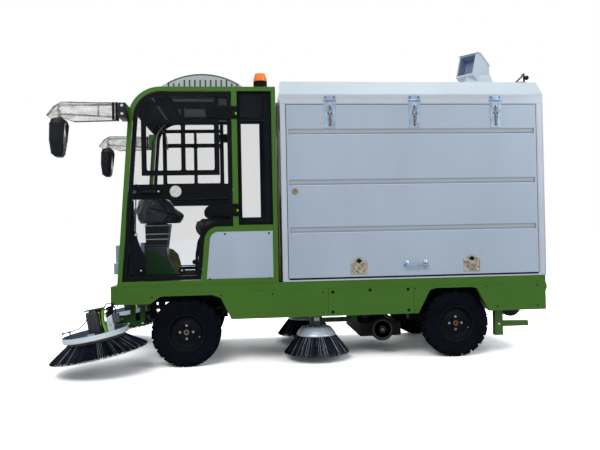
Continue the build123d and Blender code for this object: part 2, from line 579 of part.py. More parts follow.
# Roof unit with slotted sides, beacon, and head and tail lamps.
UNIT_Y = 450
unit_top = CAB_ROOF_Z + 195
unit_face = make_face([Polyline((560, CAB_ROOF_Z), (-250, CAB_ROOF_Z), (-250, CAB_ROOF_Z + 50)),
                       ThreePointArc((-250, CAB_ROOF_Z + 50), (140, unit_top), (560, CAB_ROOF_Z + 60)),
                       Line((560, CAB_ROOF_Z + 60), (560, CAB_ROOF_Z))])
unit = slab(unit_face, -UNIT_Y, UNIT_Y)
unit = fillet(unit.edges().group_by(Axis.Z)[-1], 30)
for i in range(14):
    slot_x = -150 + i * 48
    for side_name, side in SIDES:
        slot_y = on_side(side, (UNIT_Y - 12, UNIT_Y + 5))
        height = unit_top - (65 if 2 < i < 12 else 95)
        unit -= block((slot_x, slot_x + 14), slot_y, (CAB_ROOF_Z + 40, height))
parts["roof_unit"] = unit
parts["beacon"] = turned([(0, 0), (75, 0), (75, 20), (62, 30), (62, 78), (58, 80), (60, 110), (50, 146),
                          (0, 152)], 690, -600, CAB_ROOF_Z)
lamps = []
for side_name, side in SIDES:
    lamp_face = polygon((front_x(800) - 22, 800), (front_x(930) - 22, 930), (front_x(930), 930), (front_x(800), 800))
    lamps.append(side_slab(lamp_face, side, 420, 620))
    lamps.append(block((SILL_REAR, SILL_REAR + 18), on_side(side, (560, 730)), (SILL_Z - 75, SILL_Z - 5)))
parts["lamps"] = Compound(children=lamps)

# Box: floor, front wall, side rings, rear ring and bevelled roof.
box_inner = HALF_W - WALL
box_floor = block((BOX_FRONT, BOX_REAR - WALL - 0.5), (-box_inner, box_inner), (DECK_Z - FLOOR_T, DECK_Z))
front_wall = block((BOX_FRONT, BOX_FRONT + 30), (-box_inner, box_inner), (DECK_Z, BOX_TOP))
ring = rect((BOX_FRONT, BOX_REAR), (DECK_Z, BOX_TOP)) - rect(
    (HATCH_X[0] - HATCH_GAP, HATCH_X[1] + HATCH_GAP), (HATCH_Z[0] - HATCH_GAP, HATCH_Z[1] + HATCH_GAP))
side_rings = {name: side_slab(ring, side, box_inner, HALF_W) for name, side in SIDES}
rear_ring = block((BOX_REAR - WALL, BOX_REAR), (-box_inner, box_inner), (DECK_Z, BOX_TOP))
rear_ring -= block((BOX_REAR - 60, BOX_REAR + 10), (-REAR_DOOR_Y - HATCH_GAP, REAR_DOOR_Y + HATCH_GAP),
                   (HATCH_Z[0] - HATCH_GAP, HATCH_Z[1] + HATCH_GAP))


def roof_block(inset, z0, z1, top_inset):
    low = Pos(0, 0, z0) * Pos((BOX_FRONT + BOX_REAR) / 2, 0) * Rectangle(
        BOX_REAR - BOX_FRONT - 2 * inset, 2 * (HALF_W - inset))
    high = Pos(0, 0, z1) * Pos((BOX_FRONT + BOX_REAR) / 2, 0) * Rectangle(
        BOX_REAR - BOX_FRONT - 2 * inset - 20, 2 * (HALF_W - top_inset))
    return loft([low, high])


box_roof = (roof_block(0, BOX_TOP, ROOF_TOP, ROOF_INSET)
            - roof_block(40, BOX_TOP - 1, ROOF_TOP - 30, ROOF_INSET + 30))


# Hatches and rear door: grooved panels with strap hinges, paddle locks and a tube handle.

def panel(x, z):
    """A door panel standing in the XZ plane at Y = 0 (outer face), grooved along X."""
    door = block(x, (0, HATCH_T), z)
    for level in GROOVE_Z:
        groove = Plane.YZ * polygon((-1, level - GROOVE_H / 2), (GROOVE_DEPTH, level - GROOVE_H / 2 + 14),
                                    (GROOVE_DEPTH, level + GROOVE_H / 2 - 14), (-1, level + GROOVE_H / 2))
        door -= Pos(x[0] + 18, 0, 0) * extrude(groove, amount=x[1] - x[0] - 36)
    return door


def paddle_lock(x, z):
    plate = polygon((x - 75, z - 78), (x + 75, z - 78), (x + 75, z + 38), (x, z + 72), (x - 75, z + 38))
    lock = slab(fillet(plate.vertices(), 8), -4, 0)
    lock -= block((x - 52, x + 52), (-3, 1), (z - 52, z + 18))
    lock += slab(polygon((x - 46, z - 44), (x + 46, z - 44), (x + 34, z + 8), (x - 34, z + 8)), -11, 0)
    lock += slab(polygon((x - 30, z + 40), (x, z + 20), (x + 30, z + 40), (x, z + 62)), -9, -3)
    return lock


def tube_handle(x, z):
    axis = HANDLE_R - HANDLE_OUT
    grip = rod((x - 102, axis, z), (x + 102, axis, z), HANDLE_R)
    for end in (-90, 90):
        grip += rod((x + end, 0, z), (x + end, axis, z), HANDLE_R - 2)
        grip += rod((x + end, 0, z), (x + end, -6, z), 22)
    return grip


def dressed_door(x, hinge_x, lock_x, handle_x):
    """A panel fused with its fittings, and the fixed hinge leaves that its frame carries."""
    door = panel(x, HATCH_Z) + tube_handle(handle_x, LOCK_Z - 8)
    for lock in lock_x:
        door += paddle_lock(lock, LOCK_Z)
    leaves = []
    for at in hinge_x:
        fixed, moving = strap_hinge(106, 40, 246, 88, HATCH_AXIS_Z - HATCH_Z[1])
        door += Pos(at, 0, HATCH_AXIS_Z) * moving
        leaves.append(Pos(at, 0, HATCH_AXIS_Z) * fixed)
    return door, leaves


for side_name, side in SIDES:
    door, leaves = dressed_door(HATCH_X, HATCH_HINGE_X, HATCH_LOCK_X, HANDLE_X)
    for part in [door] + leaves:
        part = Pos(0, -HALF_W, 0) * part
        if side > 0:
            part = mirror(part, Plane.XZ)
        if f"hatch_{side_name}" in parts:
            side_rings[side_name] += part
        else:
            parts[f"hatch_{side_name}"] = part
parts["box_side_frames"] = Compound(children=list(side_rings.values()))
door, leaves = dressed_door((-REAR_DOOR_Y, REAR_DOOR_Y), REAR_HINGE_Y, (-380, 380), 0)
rear_place = Pos(BOX_REAR, 0, 0) * Rot(0, 0, 90)
parts["rear_door"] = rear_place * door
for leaf in leaves:
    rear_ring += rear_place * leaf
parts["box_end_frames"] = Compound(children=[front_wall, rear_ring])

# On the box roof: tilted exhaust hood and the rear camera bracket.
HOOD_X = BOX_REAR - 480
HOOD_Y = -300
HOOD_TURN = 38
foot = Pos(HOOD_X + 20, HOOD_Y, ROOF_TOP) * Rectangle(300, 250)
throat = Pos(HOOD_X + 20, HOOD_Y, ROOF_TOP + 130) * Rectangle(230, 210)
duct_side = polygon((-150, 118), (10, 20), (165, 20), (150, 250), (-20, 345), (-70, 345))
mouth = polygon((-156, 140), (-43, 99), (24, 290), (-89, 331))
lid = polygon((-98, 338), (-72, 353), (-18, 353), (158, 255), (150, 244), (-20, 339))
duct = slab(duct_side, -95, 95) - slab(mouth, -82, 82) + slab(lid, -103, 103)
hood = loft([foot, throat])
hood += Pos(HOOD_X, HOOD_Y, ROOF_TOP) * Rot(0, 0, HOOD_TURN) * duct
parts["exhaust_hood"] = hood
EYE_X = BOX_REAR - 100
box_roof += block((EYE_X - 80, EYE_X + 10), (-620, -580), (ROOF_TOP - 1, ROOF_TOP + 12))
box_roof += rod((EYE_X, -600, ROOF_TOP + 10), (EYE_X, -600, ROOF_TOP + 95), 8)
box_roof += Pos(EYE_X + 25, -600, ROOF_TOP + 55) * Sphere(22)
box_roof += rod((EYE_X, -600, ROOF_TOP + 55), (EYE_X + 25, -600, ROOF_TOP + 55), 6)
parts["box_roof"] = box_roof

# Inside the box: battery pack as a plain block, and the debris hopper open at the rear door.
HOPPER_X = (WHEELBASE - 872, BOX_REAR - 90)
HOPPER_TOP = BOX_TOP - 207
parts["battery_pack"] = block((BOX_FRONT + 47, HOPPER_X[0] - 140), (-560, 560), (DECK_Z, 1250))
hopper = block(HOPPER_X, (-640, 640), (DECK_Z, HOPPER_TOP))
hopper -= block((HOPPER_X[0] + 8, HOPPER_X[1] + 20), (-632, 632), (DECK_Z + 8, HOPPER_TOP - 8))
DUCT_X = (HEAD_X[0] + 90, HEAD_X[1] - 60)
DUCT_Y = 112
duct_hole = block(DUCT_X, (-DUCT_Y, DUCT_Y), (DECK_Z - 50, DECK_Z + 20))
parts["debris_hopper"] = hopper - duct_hole
parts["floor_plates"] = Compound(children=[cab_floor, box_floor - duct_hole])
duct = block(DUCT_X, (-DUCT_Y, DUCT_Y), (400, DECK_Z + 8))
duct -= block((DUCT_X[0] + 5, DUCT_X[1] - 5), (-DUCT_Y + 5, DUCT_Y - 5), (390, DECK_Z + 20))
parts["suction_duct"] = duct

# Under the front: green carrier frames that hold the brush arms.
carriers = []
for side_name, side in SIDES:
    y = on_side(side, (CARRIER_Y - 22, CARRIER_Y + 22))
    carrier = block(CARRIER_X, y, (365, 409))
    for x in CARRIER_BARS:
        carrier += block((x, x + 40), y, (400, CROSS_Z - 10))
    carrier += block((-560, CARRIER_X[1]), y, (CROSS_Z - 20, CROSS_Z))
    carrier += block((-600, CARRIER_BARS[0] + 1), y, (FORK_Z, ARM_PIVOT_Z + 30))
    carrier -= block((-610, ARM_PIVOT_X + 28), on_side(side, (CARRIER_Y - 13, CARRIER_Y + 13)),
                     (FORK_Z - 10, ARM_PIVOT_Z + 50))
    carrier += rod((ARM_PIVOT_X, y[0], ARM_PIVOT_Z), (ARM_PIVOT_X, y[1], ARM_PIVOT_Z), 8)
    carriers.append(carrier)
parts["brush_carriers"] = Compound(children=carriers)

# Front brushes: arm, tray and motor lift together, the disc with its bristles turns under the tray.
# The pieces stand in the tray's own tilted frame, and Y towards the arm is "inward".
MOTOR_R = 52
MOTOR_TOP = 168
BRACKET_TOP = 186
HOSE_R = 5
HOSE_ROUTE = ((-50, 0, 112), (-84, 0, 76), (-128, 0, 48), (-200, 0, 37))
FLANGE = ((92, -COVER_H + 5), (72, 60), (96, BRACKET_TOP))
SLOTTED_PLATE = ((98, -30), (148, -30), (160, 80), (178, 192), (112, 176), (100, 80))
PLATE_SLOTS = ((112, 148, 14), (113, 28, 16), (132, 22, 16))
for side_name, side in SIDES:
    tilt = Pos(BRUSH_X, side * BRUSH_Y, BRUSH_Z) * Rot(0, -BRUSH_TILT, 0)
    floor_z = TRAY_WALL - COVER_H
    arm = turned([(0, -COVER_H), (COVER_R - 8, -COVER_H), (COVER_R, -COVER_H + 8), (COVER_R, 0),
                  (COVER_R - TRAY_WALL, 0), (COVER_R - TRAY_WALL, floor_z), (0, floor_z)], 0, 0, 0)
    arm += turned([(0, floor_z - 1), (MOTOR_R + 12, floor_z - 1), (MOTOR_R + 12, floor_z + 14),
                   (MOTOR_R, floor_z + 16), (MOTOR_R, MOTOR_TOP - 14), (MOTOR_R - 4, MOTOR_TOP), (24, MOTOR_TOP),
                   (24, BRACKET_TOP - 7), (0, BRACKET_TOP - 7)], 0, 0, 0)
    inward = -side
    curve = ThreePointArc(*FLANGE)
    flange = side_slab(trace(curve, 7), inward, 2, 74)
    web = make_face([curve, Polyline(FLANGE[2], (-60, BRACKET_TOP), (-60, BRACKET_TOP - 8), (40, 150),
                                     (40, FLANGE[0][1]), FLANGE[0])])
    arm += flange + side_slab(web, inward, 66, 74)
    arm += block((-60, 98), on_side(inward, (-20, 74)), (BRACKET_TOP - 8, BRACKET_TOP))
    plate = polygon(*SLOTTED_PLATE)
    for x, z, height in PLATE_SLOTS:
        plate -= Pos(x, z) * SlotOverall(height, 6, rotation=65)
    arm += side_slab(plate, inward, 34, 40)
    arm += block((96, 104), on_side(inward, (34, 74)), (-20, 60))
    arm += block((150, 206), on_side(inward, (28, 74)), (36, 112))
    arm += block((140, 150), on_side(inward, (34, 70)), (40, 105))
    reach = on_side(inward, (30, BRUSH_Y - CARRIER_Y))
    arm += block((100, 150), reach, (48, 90))
    hose = FilletPolyline(*HOSE_ROUTE, radius=42)
    start = Plane(origin=hose @ 0, z_dir=hose % 0)
    arm += sweep(start * RegularPolygon(HOSE_R, 8), path=hose)
    arm += rod(HOSE_ROUTE[-1], (-216, 0, 36), 8)
    arm += rod((-215, 0, 36), (-262, 0, 33), 5)
    arm += rod((-262, 0, 33), (-272, 0, 32), 9)
    arm += rod((-208, 0, floor_z - 1), (-208, 0, 36), 6)
    cable = FilletPolyline((186, 0, 112), (190, 0, 150), (172, 0, 205), (132, 0, 214), (96, 0, 182), radius=18)
    start = Plane(origin=cable @ 0, z_dir=cable % 0)
    arm += Pos(0, inward * 30, 0) * sweep(start * RegularPolygon(HOSE_R, 8), path=cable)
    arm -= Pos(0, 0, (SHAFT_H - COVER_H) / 2) * Cylinder(SHAFT_R + RUN_FIT, SHAFT_H + COVER_H + 2)
    arm = tilt * arm
    y = on_side(side, (CARRIER_Y - 12, CARRIER_Y + 12))
    arm += rod((ARM_PIVOT_X, y[0], ARM_PIVOT_Z), (ARM_PIVOT_X, y[1], ARM_PIVOT_Z), 20)
    arm += block((ARM_PIVOT_X - 60, ARM_PIVOT_X), y, (ARM_PIVOT_Z - 14, ARM_PIVOT_Z + 14))
    arm -= rod((ARM_PIVOT_X, y[0] - 5, ARM_PIVOT_Z), (ARM_PIVOT_X, y[1] + 5, ARM_PIVOT_Z), 8 + RUN_FIT)
    parts[f"brush_arm_{side_name}"] = arm
    disc = (-COVER_H - 6, -COVER_H - 24)
    brush = turned([(0, disc[0]), (BRISTLE_TOP_R + 6, disc[0]), (BRISTLE_TOP_R + 6, disc[1]), (BRISTLE_R, -BRISTLE_H),
                    (BRISTLE_R - 90, -BRISTLE_H), (BRISTLE_TOP_R - 60, disc[1] - 4), (0, disc[1] - 4)], 0, 0, 0)
    brush += turned([(0, disc[0] - 1), (SHAFT_R, disc[0] - 1), (SHAFT_R, SHAFT_H), (0, SHAFT_H)], 0, 0, 0)
    parts[f"front_brush_{side_name}"] = tilt * brush

# Middle brushes: lever with motor, dish, bristles, and the bracket that holds the lever.
mid_brackets = []
for side_name, side in SIDES:
    pin_y = on_side(side, (MID_Y - 34, MID_Y + 34))
    mid_bracket = rod((MID_PIVOT_X, pin_y[0], MID_PIVOT_Z), (MID_PIVOT_X, pin_y[1], MID_PIVOT_Z), 9)
    for y in ((MID_Y - 34, MID_Y - 24), (MID_Y + 24, MID_Y + 34)):
        mid_bracket += slab(polygon((MID_PIVOT_X - 30, CROSS_Z), (MID_PIVOT_X - 30, MID_PIVOT_Z - 25),
                                    (MID_PIVOT_X + 30, MID_PIVOT_Z - 25), (MID_PIVOT_X + 40, CROSS_Z)),
                            *on_side(side, y))
    mid_brackets.append(mid_bracket)
    y = on_side(side, (MID_Y - 20, MID_Y + 20))
    lever = block((MID_X + 40, MID_PIVOT_X), y, (MID_PIVOT_Z - 20, MID_PIVOT_Z + 20))
    lever += rod((MID_PIVOT_X, y[0], MID_PIVOT_Z), (MID_PIVOT_X, y[1], MID_PIVOT_Z), 20)
    lever += Pos(MID_X, side * MID_Y, MID_MOTOR_Z + 55) * Cylinder(56, 110)
    lever -= Pos(MID_X, side * MID_Y, MID_MOTOR_Z) * Cylinder(SHAFT_R + RUN_FIT, 2 * SHAFT_H)
    lever -= rod((MID_PIVOT_X, y[0] - 5, MID_PIVOT_Z), (MID_PIVOT_X, y[1] + 5, MID_PIVOT_Z), 9 + RUN_FIT)
    parts[f"middle_arm_{side_name}"] = lever
    tufts = turned([(0, MID_DISH_Z[1]), (MID_DISH_R[1], MID_DISH_Z[1]), (MID_DISH_R[1] + 26, MID_DISH_Z[1] - 10),
                    (MID_DISH_R[0] - 4, MID_DISH_Z[0] + 12), (MID_DISH_R[0], MID_DISH_Z[0]),
                    (MID_DISH_R[0] - 14, MID_DISH_Z[0]), (MID_BRISTLE_R, MID_BRISTLE_Z),
                    (MID_BRISTLE_R - 70, MID_BRISTLE_Z), (MID_DISH_R[0] - 60, MID_DISH_Z[0] - 20),
                    (0, MID_DISH_Z[0] - 20)], MID_X, side * MID_Y, 0)
    tufts += Pos(MID_X, side * MID_Y, MID_MOTOR_Z) * Cylinder(SHAFT_R, 2 * SHAFT_H - 2)
    parts[f"middle_brush_{side_name}"] = tufts

# Suction head on two parallel arms, with a support wheel at each end.
lift = None
for side_name, side in SIDES:
    y = on_side(side, (70, 100))
    bar = slab(polygon((LIFT_X, LIFT_Z + 16), (LIFT_X, LIFT_Z - 16), (LINK_X, LINK_Z - 16), (LINK_X, LINK_Z + 16)), *y)
    for x, z in ((LIFT_X, LIFT_Z), (LINK_X, LINK_Z)):
        bar += rod((x, y[0], z), (x, y[1], z), 20)
    lift = bar if lift is None else lift + bar
TIE_BAR_X = LIFT_X + 250
tie_bar_z = LIFT_Z + (TIE_BAR_X - LIFT_X) * (LINK_Z - LIFT_Z) / (LINK_X - LIFT_X)
lift += rod((TIE_BAR_X, -80, tie_bar_z), (TIE_BAR_X, 80, tie_bar_z), 12)
lift -= rod((LIFT_X, -120, LIFT_Z), (LIFT_X, 120, LIFT_Z), 10 + RUN_FIT)
lift -= rod((LINK_X, -120, LINK_Z), (LINK_X, 120, LINK_Z), 10 + RUN_FIT)
parts["suction_arms"] = lift
hanger = None
for side_name, side in SIDES:
    ear = slab(polygon((LIFT_X - 40, SILL_Z), (LIFT_X - 25, LIFT_Z - 20), (LIFT_X + 25, LIFT_Z - 20),
                       (LIFT_X + 40, SILL_Z)), *on_side(side, (108, 120)))
    hanger = ear if hanger is None else hanger + ear
hanger += rod((LIFT_X, -120, LIFT_Z), (LIFT_X, 120, LIFT_Z), 10)
hanger += block((LIFT_X - 40, LIFT_X + 40), (-RAIL_Y + RAIL_W / 2, RAIL_Y - RAIL_W / 2), (SILL_Z - 60, SILL_Z - 22))
parts["lift_brackets"] = Compound(children=mid_brackets + [hanger])
head = block(HEAD_X, (-HEAD_Y, HEAD_Y), HEAD_Z)
head -= block((HEAD_X[0] + HEAD_WALL, HEAD_X[1] - HEAD_WALL), (-HEAD_Y + HEAD_WALL, HEAD_Y - HEAD_WALL),
              (HEAD_Z[0] - 1, HEAD_Z[1] - HEAD_WALL))
SPIGOT_X = (DUCT_X[0] + 70, DUCT_X[1] - 30)
SPIGOT_Y = 95
head += block(SPIGOT_X, (-SPIGOT_Y, SPIGOT_Y), (HEAD_Z[1] - 1, 590))
head -= block((SPIGOT_X[0] + 5, SPIGOT_X[1] - 5), (-SPIGOT_Y + 5, SPIGOT_Y - 5), (HEAD_Z[0], 600))
for side_name, side in SIDES:
    head += slab(polygon((LINK_X - 26, HEAD_Z[1] - 1), (LINK_X - 20, LINK_Z + 20), (LINK_X + 20, LINK_Z + 20),
                         (LINK_X + 40, HEAD_Z[1] - 1)), *on_side(side, (106, 118)))
    head += rod((CASTOR_X, side * (HEAD_Y - 4), CASTOR_Z), (CASTOR_X, side * (CASTOR_Y + 26), CASTOR_Z), 12)
head += rod((LINK_X, -118, LINK_Z), (LINK_X, 118, LINK_Z), 10)
parts["suction_head"] = head
for side_name, side in SIDES:
    half = CASTOR_W / 2
    castor = ring_y([(-half, 12 + RUN_FIT), (-half, 88), (-half + 8, CASTOR_R), (half - 8, CASTOR_R), (half, 88),
                     (half - 12, 80), (half - 12, 40), (half, 34), (half, 12 + RUN_FIT)],
                    CASTOR_X, CASTOR_Z, side * CASTOR_Y, side)
    parts[f"support_wheel_{side_name}"] = castor

# Rear: hanging posts with rearward bars, and the transverse tank between the rails.
for side_name, side in SIDES:
    y = on_side(side, (560, 620))
    cross_members[POST_X] += block((POST_X - 37, POST_X + 38), y, (170, CROSS_Z + 1))
    cross_members[POST_X] += block((POST_X + 33, SILL_REAR - 110), y, (250, 298))
parts["cross_members"] = Compound(children=list(cross_members.values()))
TANK_X = POST_X + 176
TANK_Z = 425
tank = rod((TANK_X, -480, TANK_Z), (TANK_X, 480, TANK_Z), 103)
for side_name, side in SIDES:
    tank += block((TANK_X - 60, TANK_X + 60), on_side(side, (RAIL_Y - 25, RAIL_Y + 25)), (TANK_Z, RAIL_Z))
parts["rear_tank"] = tank


os.makedirs("parts", exist_ok=True)
for node, shape in parts.items():
    export_step(Pos(-CENTRE_X, 0, 0) * shape, f"parts/{node}.step")
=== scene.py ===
from math import copysign, cos, exp, hypot, pi, radians, sin
import random
import bpy
import bmesh
from mathutils import Matrix, Vector


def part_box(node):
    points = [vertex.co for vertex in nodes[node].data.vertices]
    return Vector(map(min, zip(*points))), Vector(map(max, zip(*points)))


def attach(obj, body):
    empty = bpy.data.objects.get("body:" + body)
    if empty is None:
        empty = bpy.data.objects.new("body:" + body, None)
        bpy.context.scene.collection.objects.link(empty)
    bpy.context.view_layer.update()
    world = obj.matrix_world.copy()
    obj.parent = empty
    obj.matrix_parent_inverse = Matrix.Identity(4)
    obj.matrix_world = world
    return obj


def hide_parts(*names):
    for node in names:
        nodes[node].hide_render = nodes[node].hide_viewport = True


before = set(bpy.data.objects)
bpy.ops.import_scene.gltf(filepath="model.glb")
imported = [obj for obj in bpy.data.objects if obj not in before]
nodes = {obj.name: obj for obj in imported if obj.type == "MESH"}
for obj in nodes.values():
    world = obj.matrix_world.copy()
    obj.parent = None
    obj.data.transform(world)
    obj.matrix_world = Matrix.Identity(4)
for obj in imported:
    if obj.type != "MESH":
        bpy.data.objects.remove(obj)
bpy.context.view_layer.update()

random.seed(7)

# Places are written in millimetres: X rearwards from the front axle, Y to the right, Z up.
_lo, _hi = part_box("tyre_front_left")
AXLE_X = (_lo.x + _hi.x) / 2
SIDES = (("left", -1), ("right", 1))
BODY_SIDE = 753
BOX_REAR = 3270
PROUD = 0.6
CAB_ROOF_Z = 2450
DRIVER_Y = -250
DOOR_LOCK = (-412, 1538)
WHEELBASE = 2432
WHEEL_Y = 625
TYRE_R = 305
NUT_CIRCLE_R = 57.5
BRUSH_PLACE = (-750, 800, 360)
BRUSH_TILT = 9.5
MIDDLE_BRUSH = (1165, 520)
SUPPORT_WHEEL = (1780, 250)
HATCH_HANDLE_X = 2052
BEACON = (690, -600)
TANK = (3043, 425)


UP = (0, 0, 1)
ORIGIN = (0, 0, 0)


def P(x, y, z):
    return Vector((AXLE_X + x / 1000, y / 1000, z / 1000))


def on_side(sign, a, b):
    """The Y range between two distances from the middle, on one side."""
    return tuple(sorted((sign * a, sign * b)))


def both_sides(*makers):
    """Runs the makers for the left side, then for the right."""
    for side, sign in SIDES:
        for make in makers:
            make(side, sign)


def around(count, radius=1.0, start=0.0):
    """Points of a circle, from a turn of start steps."""
    turns = [2 * pi * (i + start) / count for i in range(count)]
    return [(radius * cos(turn), radius * sin(turn)) for turn in turns]


def screen_x(z):
    """The windscreen's front face at a height."""
    return -574 + (z - 728) / (2203 - 728) * 117


def into_scene(name, data):
    made = bpy.data.objects.new(name, data)
    bpy.context.scene.collection.objects.link(made)
    return made


# Materials. Each is a small node tree on object coordinates, so it rides with its piece.

class Nodes:
    """A node tree that starts empty."""
    def __init__(self, owner):
        owner.use_nodes = True
        self.tree = owner.node_tree
        self.tree.nodes.clear()

    def add(self, kind, **values):
        node = self.tree.nodes.new("ShaderNode" + kind)
        for key, value in values.items():
            if hasattr(node, key):
                setattr(node, key, value)
            else:
                node.inputs[key].default_value = value
        return node

    def link(self, a, out, b, into):
        self.tree.links.new(a.outputs[out], b.inputs[into])


class Tree(Nodes):
    def __init__(self, name):
        self.material = bpy.data.materials.new(name)
        super().__init__(self.material)
        self.out = self.add("OutputMaterial")
        self.bsdf = self.add("BsdfPrincipled")
        self.link(self.bsdf, "BSDF", self.out, "Surface")
        self.coords = self.add("TexCoord")

    def hold(self, **values):
        """Fixed values of the surface, a socket's name written with _ for each space."""
        for key, value in values.items():
            self.bsdf.inputs[key.replace("_", " ")].default_value = value

    def noise(self, scale, detail=3.0, stretch=(1, 1, 1)):
        mapping = self.add("Mapping", Scale=stretch)
        self.link(self.coords, "Object", mapping, "Vector")
        noise = self.add("TexNoise", Scale=scale, Detail=detail)
        self.link(mapping, "Vector", noise, "Vector")
        return noise

    def ramp(self, source, stops, out="Fac"):
        ramp = self.add("ValToRGB")
        self.link(source, out, ramp, "Fac")
        elements = ramp.color_ramp.elements
        while len(elements) < len(stops):
            elements.new(0.5)
        for element, (place, color) in zip(elements, stops):
            element.position = place
            element.color = (*color, 1)
        return ramp

    def drift(self, source, low, high, socket):
        """Drives a value socket of the surface between low and high by a noise."""
        spread = self.add("MapRange")
        spread.inputs["To Min"].default_value = max(0.0, low)
        spread.inputs["To Max"].default_value = min(1.0, high)
        self.link(source, "Fac", spread, "Value")
        self.link(spread, "Result", self.bsdf, socket)

    def bump(self, source, strength, distance, out="Fac"):
        bump = self.add("Bump", Strength=strength, Distance=distance)
        self.link(source, out, bump, "Height")
        self.link(bump, "Normal", self.bsdf, "Normal")


# Sockets of a colour mix: its two colours and its result.
MIX_A, MIX_B, MIX_OUT = 6, 7, 2


def shade(color, factor):
    return tuple(min(1.0, c * factor) for c in color)


def surface(name, color, rough, spread, scale, metallic=0.0, rough_spread=0.08, stretch=(1, 1, 1),
            bump=None, coat=0.0, coat_rough=0.05, gloss=0.22, dirt=None):
    """Colour and roughness drift by a noise of that spread and scale.

    A bump is (strength, scale, size) and dirt is (colour, its reach in height)."""
    t = Tree(name)
    t.hold(Metallic=metallic, Coat_Weight=coat, Coat_Roughness=coat_rough, Specular_IOR_Level=gloss)
    tone = t.ramp(t.noise(scale, 4.0, stretch),
                  [(0.3, shade(color, 1 - spread)), (0.7, shade(color, 1 + spread))])
    if dirt is None:
        t.link(tone, "Color", t.bsdf, "Base Color")
    else:
        split = t.add("SeparateXYZ")
        t.link(t.coords, "Object", split, "Vector")
        height = t.add("MapRange", **{"From Max": dirt[1], "To Min": 0.55, "To Max": 0.0})
        t.link(split, "Z", height, "Value")
        amount = t.add("Math", operation="MULTIPLY")
        t.link(height, "Result", amount, 0)
        t.link(t.noise(14.0, 6.0), "Fac", amount, 1)
        mix = t.add("Mix", data_type="RGBA")
        t.link(amount, "Value", mix, "Factor")
        t.link(tone, "Color", mix, MIX_A)
        mix.inputs[MIX_B].default_value = (*dirt[0], 1)
        t.link(mix, MIX_OUT, t.bsdf, "Base Color")
    t.drift(t.noise(scale * 2.3, 5.0, stretch), max(0.02, rough - rough_spread), rough + rough_spread,
            "Roughness")
    if bump:
        t.bump(t.noise(bump[1], 4.0), bump[0], bump[2])
    return t.material


def clear(name, color, alpha, rough=0.03, wrinkle=0.0):
    """Glass or film: it lets most of what is behind it through, by its alpha."""
    t = Tree(name)
    t.hold(Specular_IOR_Level=0.5 if wrinkle else 0.12)
    haze = t.noise(24.0 if wrinkle else 1.6, 3.0)
    tone = t.ramp(haze, [(0.3, shade(color, 0.85)), (0.7, shade(color, 1.15))])
    t.link(tone, "Color", t.bsdf, "Base Color")
    t.drift(t.noise(9.0, 4.0), rough, rough + 0.06, "Roughness")
    if wrinkle:
        fold = t.ramp(t.noise(26.0, 5.0, (0.5, 1, 1)),
                      [(0.36, (alpha * 0.6,) * 3), (0.5, (alpha,) * 3), (0.64, (alpha * 2.2,) * 3)])
        t.link(fold, "Color", t.bsdf, "Alpha")
        t.bump(t.noise(38.0, 2.0, (1, 1, 0.6)), wrinkle, 0.012)
    else:
        t.drift(haze, alpha * 0.8, alpha * 1.2, "Alpha")
    return t.material


DUST = (0.05, 0.05, 0.045)
GREEN = surface("green_paint", (0.036, 0.120, 0.006), 0.34, 0.07, 2.0, coat=0.12, coat_rough=0.12,
                bump=(0.04, 220.0, 0.0004), dirt=((0.07, 0.10, 0.04), 0.45))
BRIGHT_GREEN = surface("bright_green", (0.23, 0.62, 0.02), 0.35, 0.08, 9.0, coat=0.1)
DARK_GREEN = surface("dark_green", (0.010, 0.050, 0.006), 0.45, 0.12, 5.0, gloss=0.12, dirt=(DUST, 0.5))
SILVER = surface("silver_paint", (0.337, 0.402, 0.485), 0.36, 0.085, 1.3, metallic=0.25,
                 stretch=(1, 1, 0.35), coat=0.15, coat_rough=0.2, bump=(0.08, 2.2, 0.016))
FRAME_SILVER = surface("frame_silver", (0.44, 0.49, 0.55), 0.34, 0.05, 3.0, metallic=0.2, coat=0.1)
# Painted reflections in the panel grooves: the warm grey floor stands for the ground reflected in it, the
# blue upward slope for the sky.
GROOVE_GROUND_REFLECTION = surface("groove_floor_ground_reflection", (0.34, 0.35, 0.345), 0.4, 0.05, 2.0, metallic=0.2)
GROOVE_SKY_REFLECTION = surface("groove_slope_sky_reflection", (0.20, 0.28, 0.42), 0.36, 0.08, 2.0, metallic=0.2)
WHITE = surface("white_roof", (0.52, 0.60, 0.66), 0.4, 0.05, 2.0, coat=0.1)
HOOD_SHADE = surface("hood_shade", (0.22, 0.27, 0.40), 0.5, 0.12, 9.0)
BLACK = surface("black_paint", (0.004, 0.0045, 0.006), 0.45, 0.2, 8.0, gloss=0.05)
RIM_BLACK = surface("rim_black", (0.0035, 0.0045, 0.007), 0.45, 0.3, 10.0, gloss=0.06,
                    bump=(0.05, 150.0, 0.0005), dirt=((0.03, 0.03, 0.03), 0.3))
CAST = surface("cast_black", (0.008, 0.008, 0.009), 0.62, 0.3, 14.0, gloss=0.1, bump=(0.3, 90.0, 0.001),
               dirt=(DUST, 0.6))
STEEL = surface("steel", (0.45, 0.46, 0.48), 0.33, 0.1, 20.0, metallic=1.0)
CHROME = surface("chrome", (0.32, 0.42, 0.56), 0.18, 0.25, 16.0, metallic=1.0, rough_spread=0.06)
CHROME_BLUE = surface("strap_rib", (0.14, 0.20, 0.32), 0.2, 0.3, 30.0, metallic=1.0)
STRAP_WORN = surface("strap_worn", (0.26, 0.25, 0.23), 0.35, 0.55, 70.0, metallic=0.6)
LOCK_STEEL = surface("lock_steel", (0.34, 0.31, 0.25), 0.30, 0.55, 44.0, metallic=0.7,
                     bump=(0.25, 60.0, 0.002))
RUST = surface("rusty_bolt", (0.16, 0.075, 0.05), 0.6, 0.3, 90.0, metallic=0.4)
BRASS = surface("hub_brass", (0.20, 0.16, 0.10), 0.4, 0.2, 60.0, metallic=0.8)
RUBBER = surface("rubber", (0.006, 0.0065, 0.008), 0.68, 0.25, 9.0, gloss=0.1, bump=(0.2, 160.0, 0.0008),
                 dirt=((0.035, 0.033, 0.03), 0.5))
